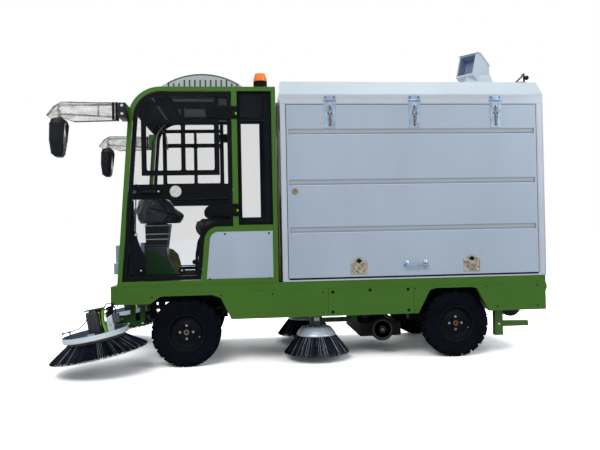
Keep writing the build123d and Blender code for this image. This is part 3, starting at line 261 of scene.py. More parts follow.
TYRE = surface("tyre_rubber", (0.0022, 0.0034, 0.0065), 0.65, 0.3, 11.0, gloss=0.03,
               bump=(0.25, 140.0, 0.0008), dirt=((0.009, 0.010, 0.013), 0.4))
SEAL_BLACK = surface("seal_black", (0.004, 0.0045, 0.006), 0.6, 0.2, 30.0, gloss=0.02)
PLASTIC = surface("dark_plastic", (0.006, 0.008, 0.011), 0.42, 0.2, 20.0, gloss=0.15,
                  bump=(0.1, 300.0, 0.0003))
NAVY = surface("cab_lining", (0.004, 0.0065, 0.013), 0.6, 0.25, 8.0, gloss=0.03)
GREY_PLASTIC = surface("grey_plastic", (0.075, 0.085, 0.095), 0.5, 0.12, 14.0, bump=(0.1, 200.0, 0.0004))
MOTOR_GREY = surface("motor_grey", (0.030, 0.034, 0.040), 0.38, 0.15, 12.0, metallic=0.3, coat=0.2)
UNIT_WHITE = surface("unit_white", (0.42, 0.47, 0.49), 0.5, 0.06, 5.0)
LABEL = surface("blank_label", (0.50, 0.52, 0.50), 0.45, 0.22, 70.0)
AMBER = surface("amber_lens", (0.95, 0.20, 0.01), 0.16, 0.12, 24.0, coat=0.6)
LAMP = surface("lamp_lens", (0.42, 0.44, 0.47), 0.2, 0.1, 30.0, coat=0.6)
TAIL_RED = surface("tail_lens", (0.35, 0.012, 0.01), 0.2, 0.12, 30.0, coat=0.6)
FILM_DARK = surface("seat_cover", (0.009, 0.013, 0.020), 0.3, 0.5, 16.0, gloss=0.35,
                    bump=(0.6, 22.0, 0.008))
BRISTLE = surface("bristle", (0.003, 0.005, 0.010), 0.45, 0.5, 60.0, gloss=0.1)
BRISTLE_BLUE = surface("bristle_blue", (0.010, 0.015, 0.027), 0.4, 0.5, 60.0, gloss=0.15)
BRISTLE_LIGHT = surface("bristle_light", (0.24, 0.27, 0.32), 0.35, 0.4, 60.0)
BRISTLE_EDGE = surface("disc_edge", (0.10, 0.085, 0.075), 0.5, 0.4, 20.0)
DISH = surface("dish_steel", (0.50, 0.58, 0.68), 0.3, 0.12, 7.0, metallic=0.3)
COVER_WHITE = surface("cover_white", (0.62, 0.70, 0.75), 0.35, 0.06, 6.0, coat=0.3)
COVER_FLOOR = surface("cover_floor", (0.13, 0.18, 0.25), 0.35, 0.2, 8.0, gloss=0.15)
BEIGE = surface("hose_beige", (0.32, 0.29, 0.22), 0.5, 0.15, 30.0)
YELLOW = surface("yellow_bag", (0.30, 0.29, 0.06), 0.45, 0.3, 14.0, bump=(0.4, 20.0, 0.006))
BLUE = surface("blue_fitting", (0.015, 0.055, 0.15), 0.35, 0.15, 60.0)
FLOOR_GREY = surface("cab_floor", (0.05, 0.06, 0.05), 0.6, 0.2, 10.0)
MIRROR_FACE = surface("mirror_face", (0.035, 0.045, 0.06), 0.16, 0.3, 14.0, gloss=0.4)
WINDOW = clear("window_glass", (0.02, 0.03, 0.04), alpha=0.09)
FILM = clear("loose_film", (0.66, 0.66, 0.63), alpha=0.2, rough=0.2, wrinkle=0.5)


def coat_node(name, material, *rules):
    """The first material covers the node; each rule (material, test) takes the faces whose centre passes."""
    mesh = nodes[name].data
    mesh.materials.clear()
    mesh.materials.append(material)
    for extra, _ in rules:
        mesh.materials.append(extra)
    for face in mesh.polygons:
        face.material_index = 0
        c = face.center
        x, y, z = (c.x - AXLE_X) * 1000, c.y * 1000, c.z * 1000
        for number, (_, test) in enumerate(rules):
            if test(x, y, z, face.normal):
                face.material_index = number + 1


def near_line(u, z, a, b):
    """True within 3 mm of the line through two points of a side view."""
    along = hypot(b[0] - a[0], b[1] - a[1])
    return abs((b[0] - a[0]) * (z - a[1]) - (b[1] - a[1]) * (u - a[0])) / along < 3


# Meshes. A piece gathers small forms in millimetres, each face with its material, and rides on one body.

class Piece:
    def __init__(self, name, place=None):
        self.name = name
        self.place = place or Matrix.Identity(4)
        self.points, self.faces, self.marks, self.materials = [], [], [], []

    def add(self, points, faces, material, smooth=False):
        if material not in self.materials:
            self.materials.append(material)
        start = len(self.points)
        self.points += [self.place @ Vector(p) for p in points]
        for face in faces:
            self.faces.append([start + i for i in face])
            self.marks.append((self.materials.index(material), smooth))

    def loft(self, rings, material, smooth=False, closed=False):
        """Rings of equal counts joined in turn, capped at both ends unless the last meets the first."""
        count = len(rings[0])
        points = [p for ring in rings for p in ring]
        faces = []
        pairs = len(rings) if closed else len(rings) - 1
        for level in range(pairs):
            low, high = level * count, (level + 1) % len(rings) * count
            for i in range(count):
                j = (i + 1) % count
                faces.append([low + i, low + j, high + j, high + i])
        if not closed:
            faces.append(list(range(count))[::-1])
            faces.append([(len(rings) - 1) * count + i for i in range(count)])
        self.add(points, faces, material, smooth)

    def plate(self, outline, axis, low, high, material, edge=0.0, smooth=False):
        """An outline of the two other axes, in their order, drawn from low to high with its rims broken."""
        place = {"x": lambda u, v, w: (w, u, v), "y": lambda u, v, w: (u, w, v), "z": lambda u, v,
                 w: (u, v, w)}
        middle = (sum(u for u, v in outline) / len(outline), sum(v for u, v in outline) / len(outline))

        def inset(point, by):
            reach = hypot(point[0] - middle[0], point[1] - middle[1]) or 1.0
            share = max(0.0, 1 - by / reach)
            return middle[0] + (point[0] - middle[0]) * share, middle[1] + (point[1] - middle[1]) * share

        steps = [(0, low), (0, high)]
        if edge:
            steps = [(edge, low), (0, low + edge), (0, high - edge), (edge, high)]
        rings = [[place[axis](*inset(point, by), w) for point in outline] for by, w in steps]
        self.loft(rings, material, smooth)

    def box(self, x, y, z, material, edge=1.5):
        edge = min(edge, (x[1] - x[0]) / 3, (y[1] - y[0]) / 3, (z[1] - z[0]) / 3)
        outline = [(x[0] + edge, z[0]), (x[1] - edge, z[0]), (x[1], z[0] + edge), (x[1], z[1] - edge),
                   (x[1] - edge, z[1]), (x[0] + edge, z[1]), (x[0], z[1] - edge), (x[0], z[0] + edge)]
        self.plate(outline, "y", y[0], y[1], material, edge)

    def turned(self, origin, direction, profile, material, sides=24, smooth=True, closed=False):
        """A profile of (radius, distance along) turned about a direction through origin."""
        axis = Vector(direction).normalized()
        across = axis.orthogonal().normalized()
        other = axis.cross(across)
        rings = []
        for radius, along in profile:
            rings.append([Vector(origin) + axis * along + (across * a + other * b) * max(radius, 0.01)
                          for a, b in around(sides)])
        self.loft(rings, material, smooth, closed)

    def bolt(self, place, direction, radius, material):
        """A washer with a six-sided domed head."""
        tall = radius * 0.8
        self.turned(place, direction, [(radius * 1.45, 0), (radius * 1.4, tall * 0.25), (0, tall * 0.25)],
                    material, 14)
        self.turned(place, direction, [(radius, 0), (radius, tall * 0.8), (radius * 0.75, tall), (0, tall)],
                    material, 6, smooth=False)

    def tube(self, route, radius, material, sides=8):
        route = [Vector(p) for p in route]
        ahead = [(b - a).normalized() for a, b in zip(route, route[1:])]
        across = ahead[0].orthogonal().normalized()
        rings = []
        for i, point in enumerate(route):
            along = (ahead[max(i - 1, 0)] + ahead[min(i, len(ahead) - 1)]).normalized()
            across = (across - along * across.dot(along)).normalized()
            other = along.cross(across)
            rings.append([point + (across * a + other * b) * radius for a, b in around(sides)])
        self.loft(rings, material, smooth=True)

    def done(self, body, slot, *replaced):
        mesh = bpy.data.meshes.new(self.name)
        mesh.from_pydata([P(*p) for p in self.points], [], self.faces)
        for material in self.materials:
            mesh.materials.append(material)
        for face, (index, smooth) in zip(mesh.polygons, self.marks):
            face.material_index = index
            face.use_smooth = smooth
        tidy = bmesh.new()
        tidy.from_mesh(mesh)
        bmesh.ops.remove_doubles(tidy, verts=tidy.verts, dist=1e-6)
        bmesh.ops.recalc_face_normals(tidy, faces=tidy.faces)
        tidy.to_mesh(mesh)
        tidy.free()
        made = into_scene(self.name, mesh)
        if replaced:
            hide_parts(*replaced)
        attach(made, body)


def cap(radius, wall, top_radius, top):
    """The profile of a round knob or plug with a broken edge."""
    return [(radius, 0), (radius, wall), (top_radius, top), (0, top)]


def rounded(u, v, radius, steps=4):
    """A rectangle's outline with round corners."""
    outline = []
    corners = ((u[1] - radius, v[1] - radius, 0), (u[0] + radius, v[1] - radius, 1),
               (u[0] + radius, v[0] + radius, 2), (u[1] - radius, v[0] + radius, 3))
    for cu, cv, quarter in corners:
        for i in range(steps + 1):
            turn = pi / 2 * (quarter + i / steps)
            outline.append((cu + radius * cos(turn), cv + radius * sin(turn)))
    return outline


# Looks of the CAD nodes; pieces further down cover tyres, seat and brushes.

def tray_place(side_sign):
    """The tilted frame of a front brush: height 0 is the tray's rim, Y is the vehicle's."""
    x, y, z = BRUSH_PLACE
    return Matrix.Translation((x, side_sign * y, z)) @ Matrix.Rotation(-radians(BRUSH_TILT), 4, "Y")


def in_tray(sign, test):
    """A face test in the tray's frame: forwards distance, distance inward, height, radius, face normal."""
    back = tray_place(sign).inverted()

    def check(x, y, z, normal):
        u, v, w = back @ Vector((x, y, z))
        return test(u, -sign * v, w, hypot(u, v), normal)
    return check


def paint_brush_arm(side, sign):
    rules = [
        (COVER_FLOOR, lambda u, i, w, r, n: w < 2 and 62 < r < 269 and (w < -30 or r < 268) and w > -47.5),
        (MOTOR_GREY, lambda u, i, w, r, n: r < 65 and -45 < w < 181),
        (DARK_GREEN, lambda u, i, w, r, n: 65 < i < 75 and -44 < w < 179 and u < 100),
        (DARK_GREEN, lambda u, i, w, r, n: w > 177 and -61 < u < 99 and -21 < i < 75),
        (BRIGHT_GREEN, lambda u, i, w, r, n: 1 < i < 66 and 62 < u < 105 and -44 < w < 186),
        (GREY_PLASTIC, lambda u, i, w, r, n: 139 < u < 207 and 27 < i < 75 and 35 < w < 113),
        (COVER_WHITE, lambda u, i, w, r, n: 33 < i < 41 and 94 < u < 180 and -31 < w < 193),
        (DARK_GREEN, lambda u, i, w, r, n: 74 < i < 240 and 45 < w < 92),
        (DARK_GREEN, lambda u, i, w, r, n: 95 < u < 151 and 40 < i < 240 and 10 < w < 120),
        (BEIGE, lambda u, i, w, r, n: -199 < u < -49 and abs(i) < 9 and w > 20),
        (BLUE, lambda u, i, w, r, n: -217 < u < -199 and abs(i) < 10 and w > 20),
        (BLACK, lambda u, i, w, r, n: u < -214 and abs(i) < 11 and w > 15),
        (GREY_PLASTIC, lambda u, i, w, r, n: -215 < u < -201 and abs(i) < 8 and w > -41),
        (BLACK, lambda u, i, w, r, n: 20 < i < 40 and u > 90 and w > 100),
        (DARK_GREEN, lambda u, i, w, r, n: i > 180 and (w > 4 or r > 272)),
    ]
    # The last rule that passes wins, so the wide ones stand first.
    coat_node(f"brush_arm_{side}", COVER_WHITE, *[(m, in_tray(sign, test)) for m, test in rules])


MIRROR_Y = 932
MIRROR_FACE_X = -936
HOOD_AT = (2790, -300, 2520)
HOOD_TURN = 38


def off_arm(y):
    """Distance from the middle of a mirror's arm."""
    return abs(abs(y) - MIRROR_Y)


def hood_inside(x, y, z, n):
    """The recess behind the hood's mouth, in the duct's own side view."""
    turn = radians(HOOD_TURN)
    dx, dy = x - HOOD_AT[0], y - HOOD_AT[1]
    u = dx * cos(turn) + dy * sin(turn)
    v = -dx * sin(turn) + dy * cos(turn)
    w = z - HOOD_AT[2]
    if abs(v) > 83:
        return False
    walls = (((-156, 140), (-43, 99)), ((-43, 99), (24, 290)), ((24, 290), (-89, 331)))
    if abs(v) > 81:
        return u < 25 and 95 < w < 335
    return any(near_line(u, w, a, b) for a, b in walls) and u > -150


GROOVE_Z = (1184, 1605, 2054)


def groove(z, out, part):
    """True in a panel's grooves: part 0 is the floor, 12 mm deep, and -1 the slope under it."""
    level = min(GROOVE_Z, key=lambda g: abs(g - z))
    if part == 0:
        return abs(z - level) < 13 and -13 < out < -11
    return -27 < z - level < -11 and -12.5 < out < -0.5


def coat_panel(name, flat):
    """A hatch or door: flat(x, y) gives a point's distance off its face and from its handle."""
    def rule(test):
        return lambda x, y, z, n: test(*flat(x, y), z, n)

    coat_node(name, SILVER,
              # Painted reflections: the ground's on the groove floor, the sky's on the upward slope under it.
              (GROOVE_GROUND_REFLECTION, rule(lambda out, u, z, n: groove(z, out, 0))),
              (GROOVE_SKY_REFLECTION, rule(lambda out, u, z, n: groove(z, out, -1) and n.z > 0.2)),
              (CHROME, rule(lambda out, u, z, n: out > 0.3 and z > 1700)),
              (LOCK_STEEL, rule(lambda out, u, z, n: out > 0.3 and z < 1000 and abs(u) > 150)),
              (CHROME, rule(lambda out, u, z, n: out > 0.3 and z < 1000 and abs(u) < 150)),
              (BLACK, rule(lambda out, u, z, n: abs(out - 9) < 0.6 and 876 < z < 922 and abs(u) > 150)))


for end in ("front", "rear"):
    for side, sign in SIDES:
        coat_node(f"tyre_{end}_{side}", TYRE)
        coat_node(f"rim_{end}_{side}", RIM_BLACK)
# The suction head is coated cast black as painted shade: it sits in the shadow under the body.
PLAIN = (("front_axle rear_axle leaf_springs knuckle_left knuckle_right chassis_rails suction_head", CAST),
         ("tie_rod debris_hopper suction_duct", STEEL), ("side_sills skirts front_panel", GREEN),
         ("corner_plates", SILVER), ("cab_rear_wall", NAVY), ("cab_glass", WINDOW),
         ("driver_seat", FILM_DARK), ("battery_pack rear_tank", PLASTIC), ("floor_plates", FLOOR_GREY),
         ("brush_carriers lift_brackets suction_arms", DARK_GREEN))
for names, material in PLAIN:
    for name in names.split():
        coat_node(name, material)
coat_node("cross_members", CAST, (GREEN, lambda x, y, z, n: x > 2790 and 540 < abs(y) < 640 and z < 645))
coat_node("cab_frame", GREEN, (NAVY, lambda x, y, z, n: abs(y) < 707.5),
          (BLACK, lambda x, y, z, n: abs(y) > BODY_SIDE + PROUD))
coat_node("cab_roof", NAVY, (GREEN, lambda x, y, z, n: n.z > 0.3 or n.x < -0.5),
          (GREY_PLASTIC, lambda x, y, z, n: 2404 < z < 2412))
coat_node("steering", PLASTIC,
          (DARK_GREEN, lambda x, y, z, n: z < 985 and x > -408 and abs(y - DRIVER_Y) < 106),
          (MOTOR_GREY, lambda x, y, z, n: 985 < z < 1046))
coat_node("mirrors", PLASTIC,
          (FILM, lambda x, y, z, n: -1080 < x < -500.5 and z > 2113 and abs(y) > 880
           and abs(off_arm(y) - 26.3) < 1.2),
          (FILM, lambda x, y, z, n: -1080 < x < -500.5 and z > 2113 and off_arm(y) < 26
           and off_arm(y) > 12.5 and not (x < -880 and z < 2141 and n.z > 0.9)),
          (MIRROR_FACE, lambda x, y, z, n: abs(x - MIRROR_FACE_X) < 2 and z < 2120 and off_arm(y) < 63),
          (GREEN, lambda x, y, z, n: x > -500 and abs(y) < 830))
coat_node("roof_unit", UNIT_WHITE, (GREY_PLASTIC, lambda x, y, z, n: 436 < abs(y) < 449 and -152 < x < 500))
coat_node("beacon", AMBER, (BLACK, lambda x, y, z, n: z < CAB_ROOF_Z + 76))
coat_node("lamps", LAMP, (TAIL_RED, lambda x, y, z, n: x > 3000))
coat_node("box_side_frames", FRAME_SILVER, (CHROME, lambda x, y, z, n: abs(y) > BODY_SIDE + PROUD))
coat_node("box_end_frames", FRAME_SILVER, (CHROME, lambda x, y, z, n: x > BOX_REAR + PROUD))
coat_node("box_roof", WHITE, (PLASTIC, lambda x, y, z, n: z > 2521 and x > 3070))
coat_node("exhaust_hood", WHITE, (HOOD_SHADE, hood_inside))
for side, sign in SIDES:
    coat_node(f"door_{side}", BLACK,
              (BLUE, lambda x, y, z, n: hypot(x - DOOR_LOCK[0], z - DOOR_LOCK[1]) < 14 and abs(y) > 757))
    coat_node(f"door_glass_{side}", WINDOW)
    coat_panel(f"hatch_{side}", lambda x, y: (abs(y) - BODY_SIDE, x - HATCH_HANDLE_X))
    paint_brush_arm(side, sign)
    coat_node(f"middle_arm_{side}", DARK_GREEN, (MOTOR_GREY, lambda x, y, z, n: x < MIDDLE_BRUSH[0] + 58))
    coat_node(f"support_wheel_{side}", RUBBER)
coat_panel("rear_door", lambda x, y: (x - BOX_REAR, y))

# Wheels: tyre with staggered lugs, nuts, hub ring and valve.

LUG_COUNT = 20
LUG_GAP = 15
CARCASS = ((63, 160), (66, 166), (71.5, 172), (72.5, 177), (71, 182), (75.5, 205), (77.3, 236), (77.4, 250),
           (75.5, 262), (68, 276), (58, 285), (40, 288), (0, 288))
LUG_SECTION = ((6, 305, 284), (34, 305.3, 286), (56, 304.5, 284), (69, 290, 274), (77.4, 267, 256))
LUG_SKEW = 4.5


def lugged_tyre(end, side, sign, x):
    piece = Piece(f"lugged_tyre_{end}_{side}")
    centre = (x, sign * WHEEL_Y, TYRE_R)
    half = [(r, y) for y, r in CARCASS]
    profile = half + [(r, -y) for r, y in half[-2::-1]]
    piece.turned(centre, (0, 1, 0), profile, TYRE, 96, closed=True)
    step = 2 * pi / LUG_COUNT
    half_lug = step / 2 - LUG_GAP / 2 / TYRE_R
    for face in (-1, 1):
        for i in range(LUG_COUNT):
            middle = (i + (0.5 if face > 0 else 0)) * step
            rings = []
            for y, top, base in LUG_SECTION:
                lean = radians(LUG_SKEW) * (1 - y / 77.5)
                ring = []
                for turn, radius in ((-half_lug, base), (-half_lug + 0.012, top), (half_lug - 0.012, top),
                                     (half_lug, base)):
                    a = middle + turn + lean
                    ring.append((x + radius * cos(a), sign * WHEEL_Y + face * y, TYRE_R + radius * sin(a)))
                rings.append(ring)
            piece.loft(rings, TYRE)
    piece.done(f"wheel_{end}_{side}", "tyre", f"tyre_{end}_{side}")


def wheel_fittings(end, side, sign, x):
    piece = Piece(f"wheel_fittings_{end}_{side}")
    out = (0, sign, 0)
    at = sign * WHEEL_Y
    for u, w in around(4, NUT_CIRCLE_R):
        place = (x + u, at + sign * 38, TYRE_R + w)
        piece.turned(place, out, [(12, 0), (12, 2), (9.5, 2.2), (9.5, 13), (8, 15.5), (0, 15.5)], STEEL, 6,
                     smooth=False)
        piece.turned(place, out, [(5, 14), (5, 19), (4, 20), (0, 20)], CHROME, 10)
    metal = BRASS if end == "front" else RUST
    piece.turned((x, at, TYRE_R), out, [(24, 51), (24, 56), (21, 58), (16, 58), (15, 55), (0, 55)], metal, 28)
    piece.turned((x, at, TYRE_R), out, [(9, 54), (9, 60), (7, 62), (0, 62)], CAST, 6, smooth=False)
    for u, w in around(8, 99, 0.5):
        place = (x + u, at + sign * 28, TYRE_R + w)
        piece.turned(place, out, [(9, -1), (9, 3.2), (6.5, 3.4), (6, 0.5), (0, 0.5)], CAST, 12)
    piece.tube([(x + 108, at + sign * 20, TYRE_R - 40), (x + 112, at + sign * 42, TYRE_R - 42),
                (x + 113, at + sign * 52, TYRE_R - 43)], 4.5, RUBBER)
    piece.turned((x + 113, at + sign * 51, TYRE_R - 43), out, cap(5, 7, 3.5, 8), STEEL, 10)
    piece.done(f"wheel_{end}_{side}", "steel")


for end, x in (("front", 0), ("rear", WHEELBASE)):
    for side, sign in SIDES:
        lugged_tyre(end, side, sign, x)
        wheel_fittings(end, side, sign, x)

# Brushes: a disc or dish, a dark core and rows of single strands.

STRAND_R = 2.0


def strand(piece, start, end, bend, material):
    """One bristle: three-sided, slightly bent, thinner at its tip."""
    start, end, bend = Vector(start), Vector(end), Vector(bend)
    along = (end - start).normalized()
    across = along.orthogonal().normalized()
    other = along.cross(across)
    rings = []
    for share, thick in ((0, 1.0), (0.55, 0.9), (1, 0.55)):
        centre = start.lerp(end, share) + bend * (4 * share * (1 - share))
        rings.append([centre + (across * cos(2.094 * k) + other * sin(2.094 * k)) * STRAND_R * thick
                      for k in range(3)])
    piece.loft(rings, material)


def bristle_ring(piece, count, root, tip, jitter):
    """Strands from a root circle (radius, height) to a tip circle, in tufts that share a shade."""
    tufts = count // 2
    shades = [random.choices((BRISTLE, BRISTLE_BLUE, BRISTLE_LIGHT), (65, 25, 10))[0] for _ in range(tufts)]
    for i in range(count):
        tuft = i % tufts
        turn = 2 * pi * (tuft + random.uniform(0.05, 0.95)) / tufts
        lean = turn + random.uniform(-0.5, 0.5) / tufts * 2.2
        r0, r1 = root[0] + random.uniform(-3, 3), tip[0] - abs(random.gauss(0, jitter))
        z0, z1 = root[1], tip[1] + abs(random.gauss(0, jitter * 0.5))
        material = shades[tuft] if random.random() < 0.8 else BRISTLE
        out = Vector((cos(turn), sin(turn), 0))
        strand(piece, (r0 * cos(turn), r0 * sin(turn), z0), (r1 * cos(lean), r1 * sin(lean), z1),
               out * random.uniform(0, 5), material)


FRONT_BRISTLES = ((1320, (237, -70), (404, -187), 6), (540, (214, -78), (372, -186), 9),
                  (360, (192, -79), (338, -185), 9))
MIDDLE_BRISTLES = ((1080, (170, 228), (299, 65), 5), (480, (150, 222), (274, 66), 8),
                   (300, (132, 218), (250, 68), 8))


def front_brush(side, sign):
    piece = Piece(f"bristles_front_{side}", tray_place(sign))
    piece.turned(ORIGIN, UP, [(0, -54.5), (234, -54.5), (241, -56), (241, -63), (236, -64), (236, -71),
                              (231, -73), (0, -73)], BRISTLE_EDGE, 64)
    piece.turned(ORIGIN, UP, [(0, -50), (150, -50), (152, -55), (0, -55)], CAST, 40)
    piece.turned(ORIGIN, UP, [(0, -74), (233, -74), (380, -172), (338, -172), (186, -88), (0, -88)],
                 BRISTLE, 48, smooth=False)
    piece.turned(ORIGIN, UP, [(12, -56), (12, 39.5), (11, 40), (0, 40)], STEEL, 16)
    for row in FRONT_BRISTLES:
        bristle_ring(piece, *row)
    piece.done(f"front_brush_{side}", "bristle", f"front_brush_{side}")


def middle_brush(side, sign):
    x, y = MIDDLE_BRUSH
    piece = Piece(f"bristles_middle_{side}", Matrix.Translation((x, sign * y, 0)))
    piece.turned(ORIGIN, UP, [(0, 302), (96, 302), (112, 300.5), (126, 296), (138, 290), (160, 262),
                              (173, 242), (179.5, 234), (180, 224), (176, 223.5), (172, 232),
                              (152, 258), (0, 262)], DISH, 64)
    for u, v in around(6, 82):
        piece.bolt((u, v, 301.5), UP, 8, STEEL)
    piece.turned(ORIGIN, UP, [(12, 300), (12, 383), (11, 384), (0, 384)], STEEL, 16)
    piece.turned(ORIGIN, UP, [(0, 232), (166, 232), (278, 82), (252, 82), (128, 210), (0, 210)], BRISTLE, 48,
                 smooth=False)
    for row in MIDDLE_BRISTLES:
        bristle_ring(piece, *row)
    piece.done(f"middle_brush_{side}", "bristle", f"middle_brush_{side}")


both_sides(front_brush, middle_brush)


# Brush motors: blank label, cap screws, tray bolts, cooling fins, link bolts and plug.

def tray_fittings(side, sign):
    piece = Piece(f"brush_motor_fittings_{side}", tray_place(sign))
    out = -sign
    piece.box((-52, 6), on_side(sign, 63, 66), (-42, -8), LABEL)
    for u, v in around(4, 38, 0.5):
        piece.bolt((u, v, 167.5), UP, 5, STEEL)
    for u, v in around(8, 250, 0.25):
        piece.bolt((u, v, -43.2), UP, 6, STEEL)
    for u, v in around(10, 52):
        piece.box((u - 3, u + 3), (v - 3, v + 3), (-20, 150), MOTOR_GREY)
    for w in (60, 150):
        piece.bolt((120, out * 33.5, w), (0, -out, 0), 5, STEEL)
    piece.bolt((178, out * 51, 111.5), UP, 9, CAST)
    piece.done(f"brush_arm_{side}", "steel")


both_sides(tray_fittings)


# Middle brush lever: motor label and cap, pivot bolts; support wheels: hub ring, bolt and rim.

def lever_fittings(side, sign):
    piece = Piece(f"lever_fittings_{side}")
    x, y = MIDDLE_BRUSH
    piece.box((x - 24, x + 24), on_side(sign, y + 53, y + 58), (352, 384), LABEL)
    piece.turned((x, sign * y, 410), UP, [(60, 0), (60, 8), (50, 14), (50, 20), (0, 20)], MOTOR_GREY, 32)
    piece.bolt((1510, sign * (y + 20), 352), (0, sign, 0), 11, BRASS)
    piece.bolt((1400, sign * (y + 20), 352), (0, sign, 0), 7, CAST)
    for u, v in around(4, 40, 0.5):
        piece.bolt((x + u, sign * y + v, 429), UP, 6, STEEL)
    piece.done(f"middle_arm_{side}", "steel")


def support_wheel_fittings(side, sign):
    piece = Piece(f"support_wheel_fittings_{side}")
    out = (0, sign, 0)
    x, z = SUPPORT_WHEEL
    place = (x, sign * 547, z)
    piece.turned(place, out, [(36, -6), (36, 1), (30, 3), (22, 3), (20, 2), (0, 2)], CAST, 28)
    piece.bolt((x, sign * 551, z), out, 10, BRASS)
    piece.turned(place, out, [(87, -1), (87, 1.2), (84, 2.2), (81, 1.2), (81, -1)], GREY_PLASTIC, 40)
    piece.done(f"support_wheel_{side}", "steel")


both_sides(lever_fittings, support_wheel_fittings)

# Skirt and sill bolts, corner plate bolts, panel seams.

SKIRT_BOLTS = ((1293, 629, 10), (1626, 637, 10), (1972, 636, 10), (1290, 452, 10), (1977, 448, 10),
               (-281, 628, 5),
               (312, 629, 5), (758, 627, 5), (1205, 629, 5), (1202, 452, 4), (2040, 637, 4), (2040, 450, 4),
               (2700, 640, 5), (2800, 455, 5), (3180, 640, 5), (3180, 455, 5))
CORNER_BOLTS = ((353, 1162), (737, 1163), (216, 773), (738, 768))


def side_bolts(side, sign):
    piece = Piece(f"side_bolts_{side}")
    out = (0, sign, 0)
    for x, z, radius in SKIRT_BOLTS:
        piece.bolt((x, sign * 752.6, z), out, radius, BLACK)
    for x, z in CORNER_BOLTS:
        piece.bolt((x, sign * 750.8, z), out, 6, BLACK)
    piece.box((-599, -593), on_side(sign, 752, 754), (574, 724), GREEN)
    piece.done("body", "black_paint")


# Thin rolled edges of the sills, a highlight line along the body.

def sill_edges(side, sign):
    piece = Piece(f"sill_edges_{side}")
    y = on_side(sign, 748, 756)
    piece.box((-610, 3252), y, (724, 729.5), GREEN)
    for x in ((-606, 1248), (1256, 2021), (2030, 3252)):
        piece.box(x, on_side(sign, 750, 754.5), (661, 666), GREEN)
    piece.done("body", "green_paint")


def frame_trim(side, sign):
    """Fine folded lines on the box's rails and posts, and a black strip of painted shade along the hatch's
    lower gap.
    """
    piece = Piece(f"frame_trim_{side}")
    y = on_side(sign, 752, 755.5)
    for z in (2303, 2352, 2381):
        piece.box((856, 3267), y, (z, z + 4), FRAME_SILVER, 1)
    for x in (857, 893, 3214, 3262):
        piece.box((x, x + 4), y, (734, 2300), FRAME_SILVER, 1)
    piece.box((856, 3267), y, (731, 735), FRAME_SILVER, 1)
    # Painted shade: a black strip stands for the shadow in the gap under the hatch.
    piece.box((912, 3195), y, (744, 754), SEAL_BLACK, 1)
    piece.done("body", "silver_paint")


both_sides(side_bolts, sill_edges, frame_trim)


# Doors: window rubbers, round knobs, blank label, handle ends, hinge bolts.

SLIDER_PANES = (((-311, -8), (1719, 2123)), ((22, 278), (1719, 2123)))


def ring_plate(piece, u, v, width, radius, y, material):
    """A flat frame with round corners inside and out, as a closed ring."""
    outer = rounded(u, v, radius, 5)
    inner = rounded((u[0] + width, u[1] - width), (v[0] + width, v[1] - width), max(radius - width, 4), 5)
    rings = [[(a, y[0], b) for a, b in outer], [(a, y[1], b) for a, b in outer],
             [(a, y[1], b) for a, b in inner], [(a, y[0], b) for a, b in inner]]
    piece.loft(rings, material, closed=True)


def door_fittings(side, sign):
    piece = Piece(f"door_fittings_{side}")
    out = (0, sign, 0)

    for u, v in SLIDER_PANES:
        ring_plate(piece, (u[0] - 5, u[1] + 5), (v[0] - 5, v[1] + 5), 9, 24, on_side(sign, 742, 747),
                   SEAL_BLACK)
    piece.turned((-65, sign * 747, 1540), out, cap(50, 1.6, 47, 2.4), LABEL, 40)
    for x, z, radius in ((-373, 860, 27), (-24, 853, 27)):
        piece.turned((x, sign * 733.5, z), out,
                     [(radius, 0), (radius, 6), (radius - 7, 12), (radius - 13, 12.5),
                                                 (10, 10), (0, 10)], BLACK, 28)
        piece.bolt((x, sign * 743, z), out, 6.5, CHROME)
    piece.turned((-411, sign * 733.5, 1169), out, cap(13, 5, 8, 8), CHROME, 20)
    for x in (-362, -208):
        piece.turned((x, sign * 747.5, 1540), out, cap(20, 3, 15, 6), BLACK, 24)
    piece.bolt((-208, sign * 780.5, 1540), out, 6, CHROME)
    piece.box((-340, -228), on_side(sign, 780.5, 782.5), (1533, 1547), PLASTIC)
    for level in (1370, 2223):
        for x in (250, 300, 350):
            for up in (-22, 22):
                piece.bolt((x, sign * 757.6, level + up), out, 5, BLACK)
    piece.done(f"door_{side}", "black_paint")


# The lower pane's printed border: the see-through field is smaller than the glass.

def pane_border(side, sign):
    """Strips behind the lower pane's front, rear and top edges, and a patch behind the lower hinge."""
    piece = Piece(f"pane_border_{side}")
    y = on_side(sign, 725.6, 727.4)

    def strip(points):
        piece.plate(points, "y", *y, SEAL_BLACK)

    strip([(-487, 810), (-338, 810), (-326, 946), (-376, 1067), (-424, 1212), (-424, 1468), (-436, 1468)])
    strip([(86, 810), (110, 810), (118, 960), (140, 1080), (180, 1160), (150, 1180), (112, 1100), (94, 990)])
    strip([(190, 1310), (232, 1288), (400, 1284), (400, 1468), (262, 1468), (262, 1440), (236, 1418),
           (196, 1400),
           (176, 1370), (176, 1330)])
    strip([(-470, 810), (110, 810), (110, 822), (-470, 822)])
    piece.done(f"door_{side}", "black_paint")


both_sides(pane_border)


def door_post_fittings(side, sign):
    """What the B post carries: the hinges' bright bolt caps."""
    piece = Piece(f"hinge_caps_{side}")
    for level in (1366, 2214):
        piece.turned((463, sign * 757.5, level), (0, sign, 0), cap(12, 4, 9, 7),
                     BRIGHT_GREEN, 20)
        for up in (-34, 34):
            piece.bolt((463, sign * 757.5, level + up), (0, sign, 0), 7, BLACK)
    piece.done("body", "green_paint")


# Dark borders printed on the quarter windows, and the rubbers round them.

QUARTER = ((475, 777), (1238, 2412))


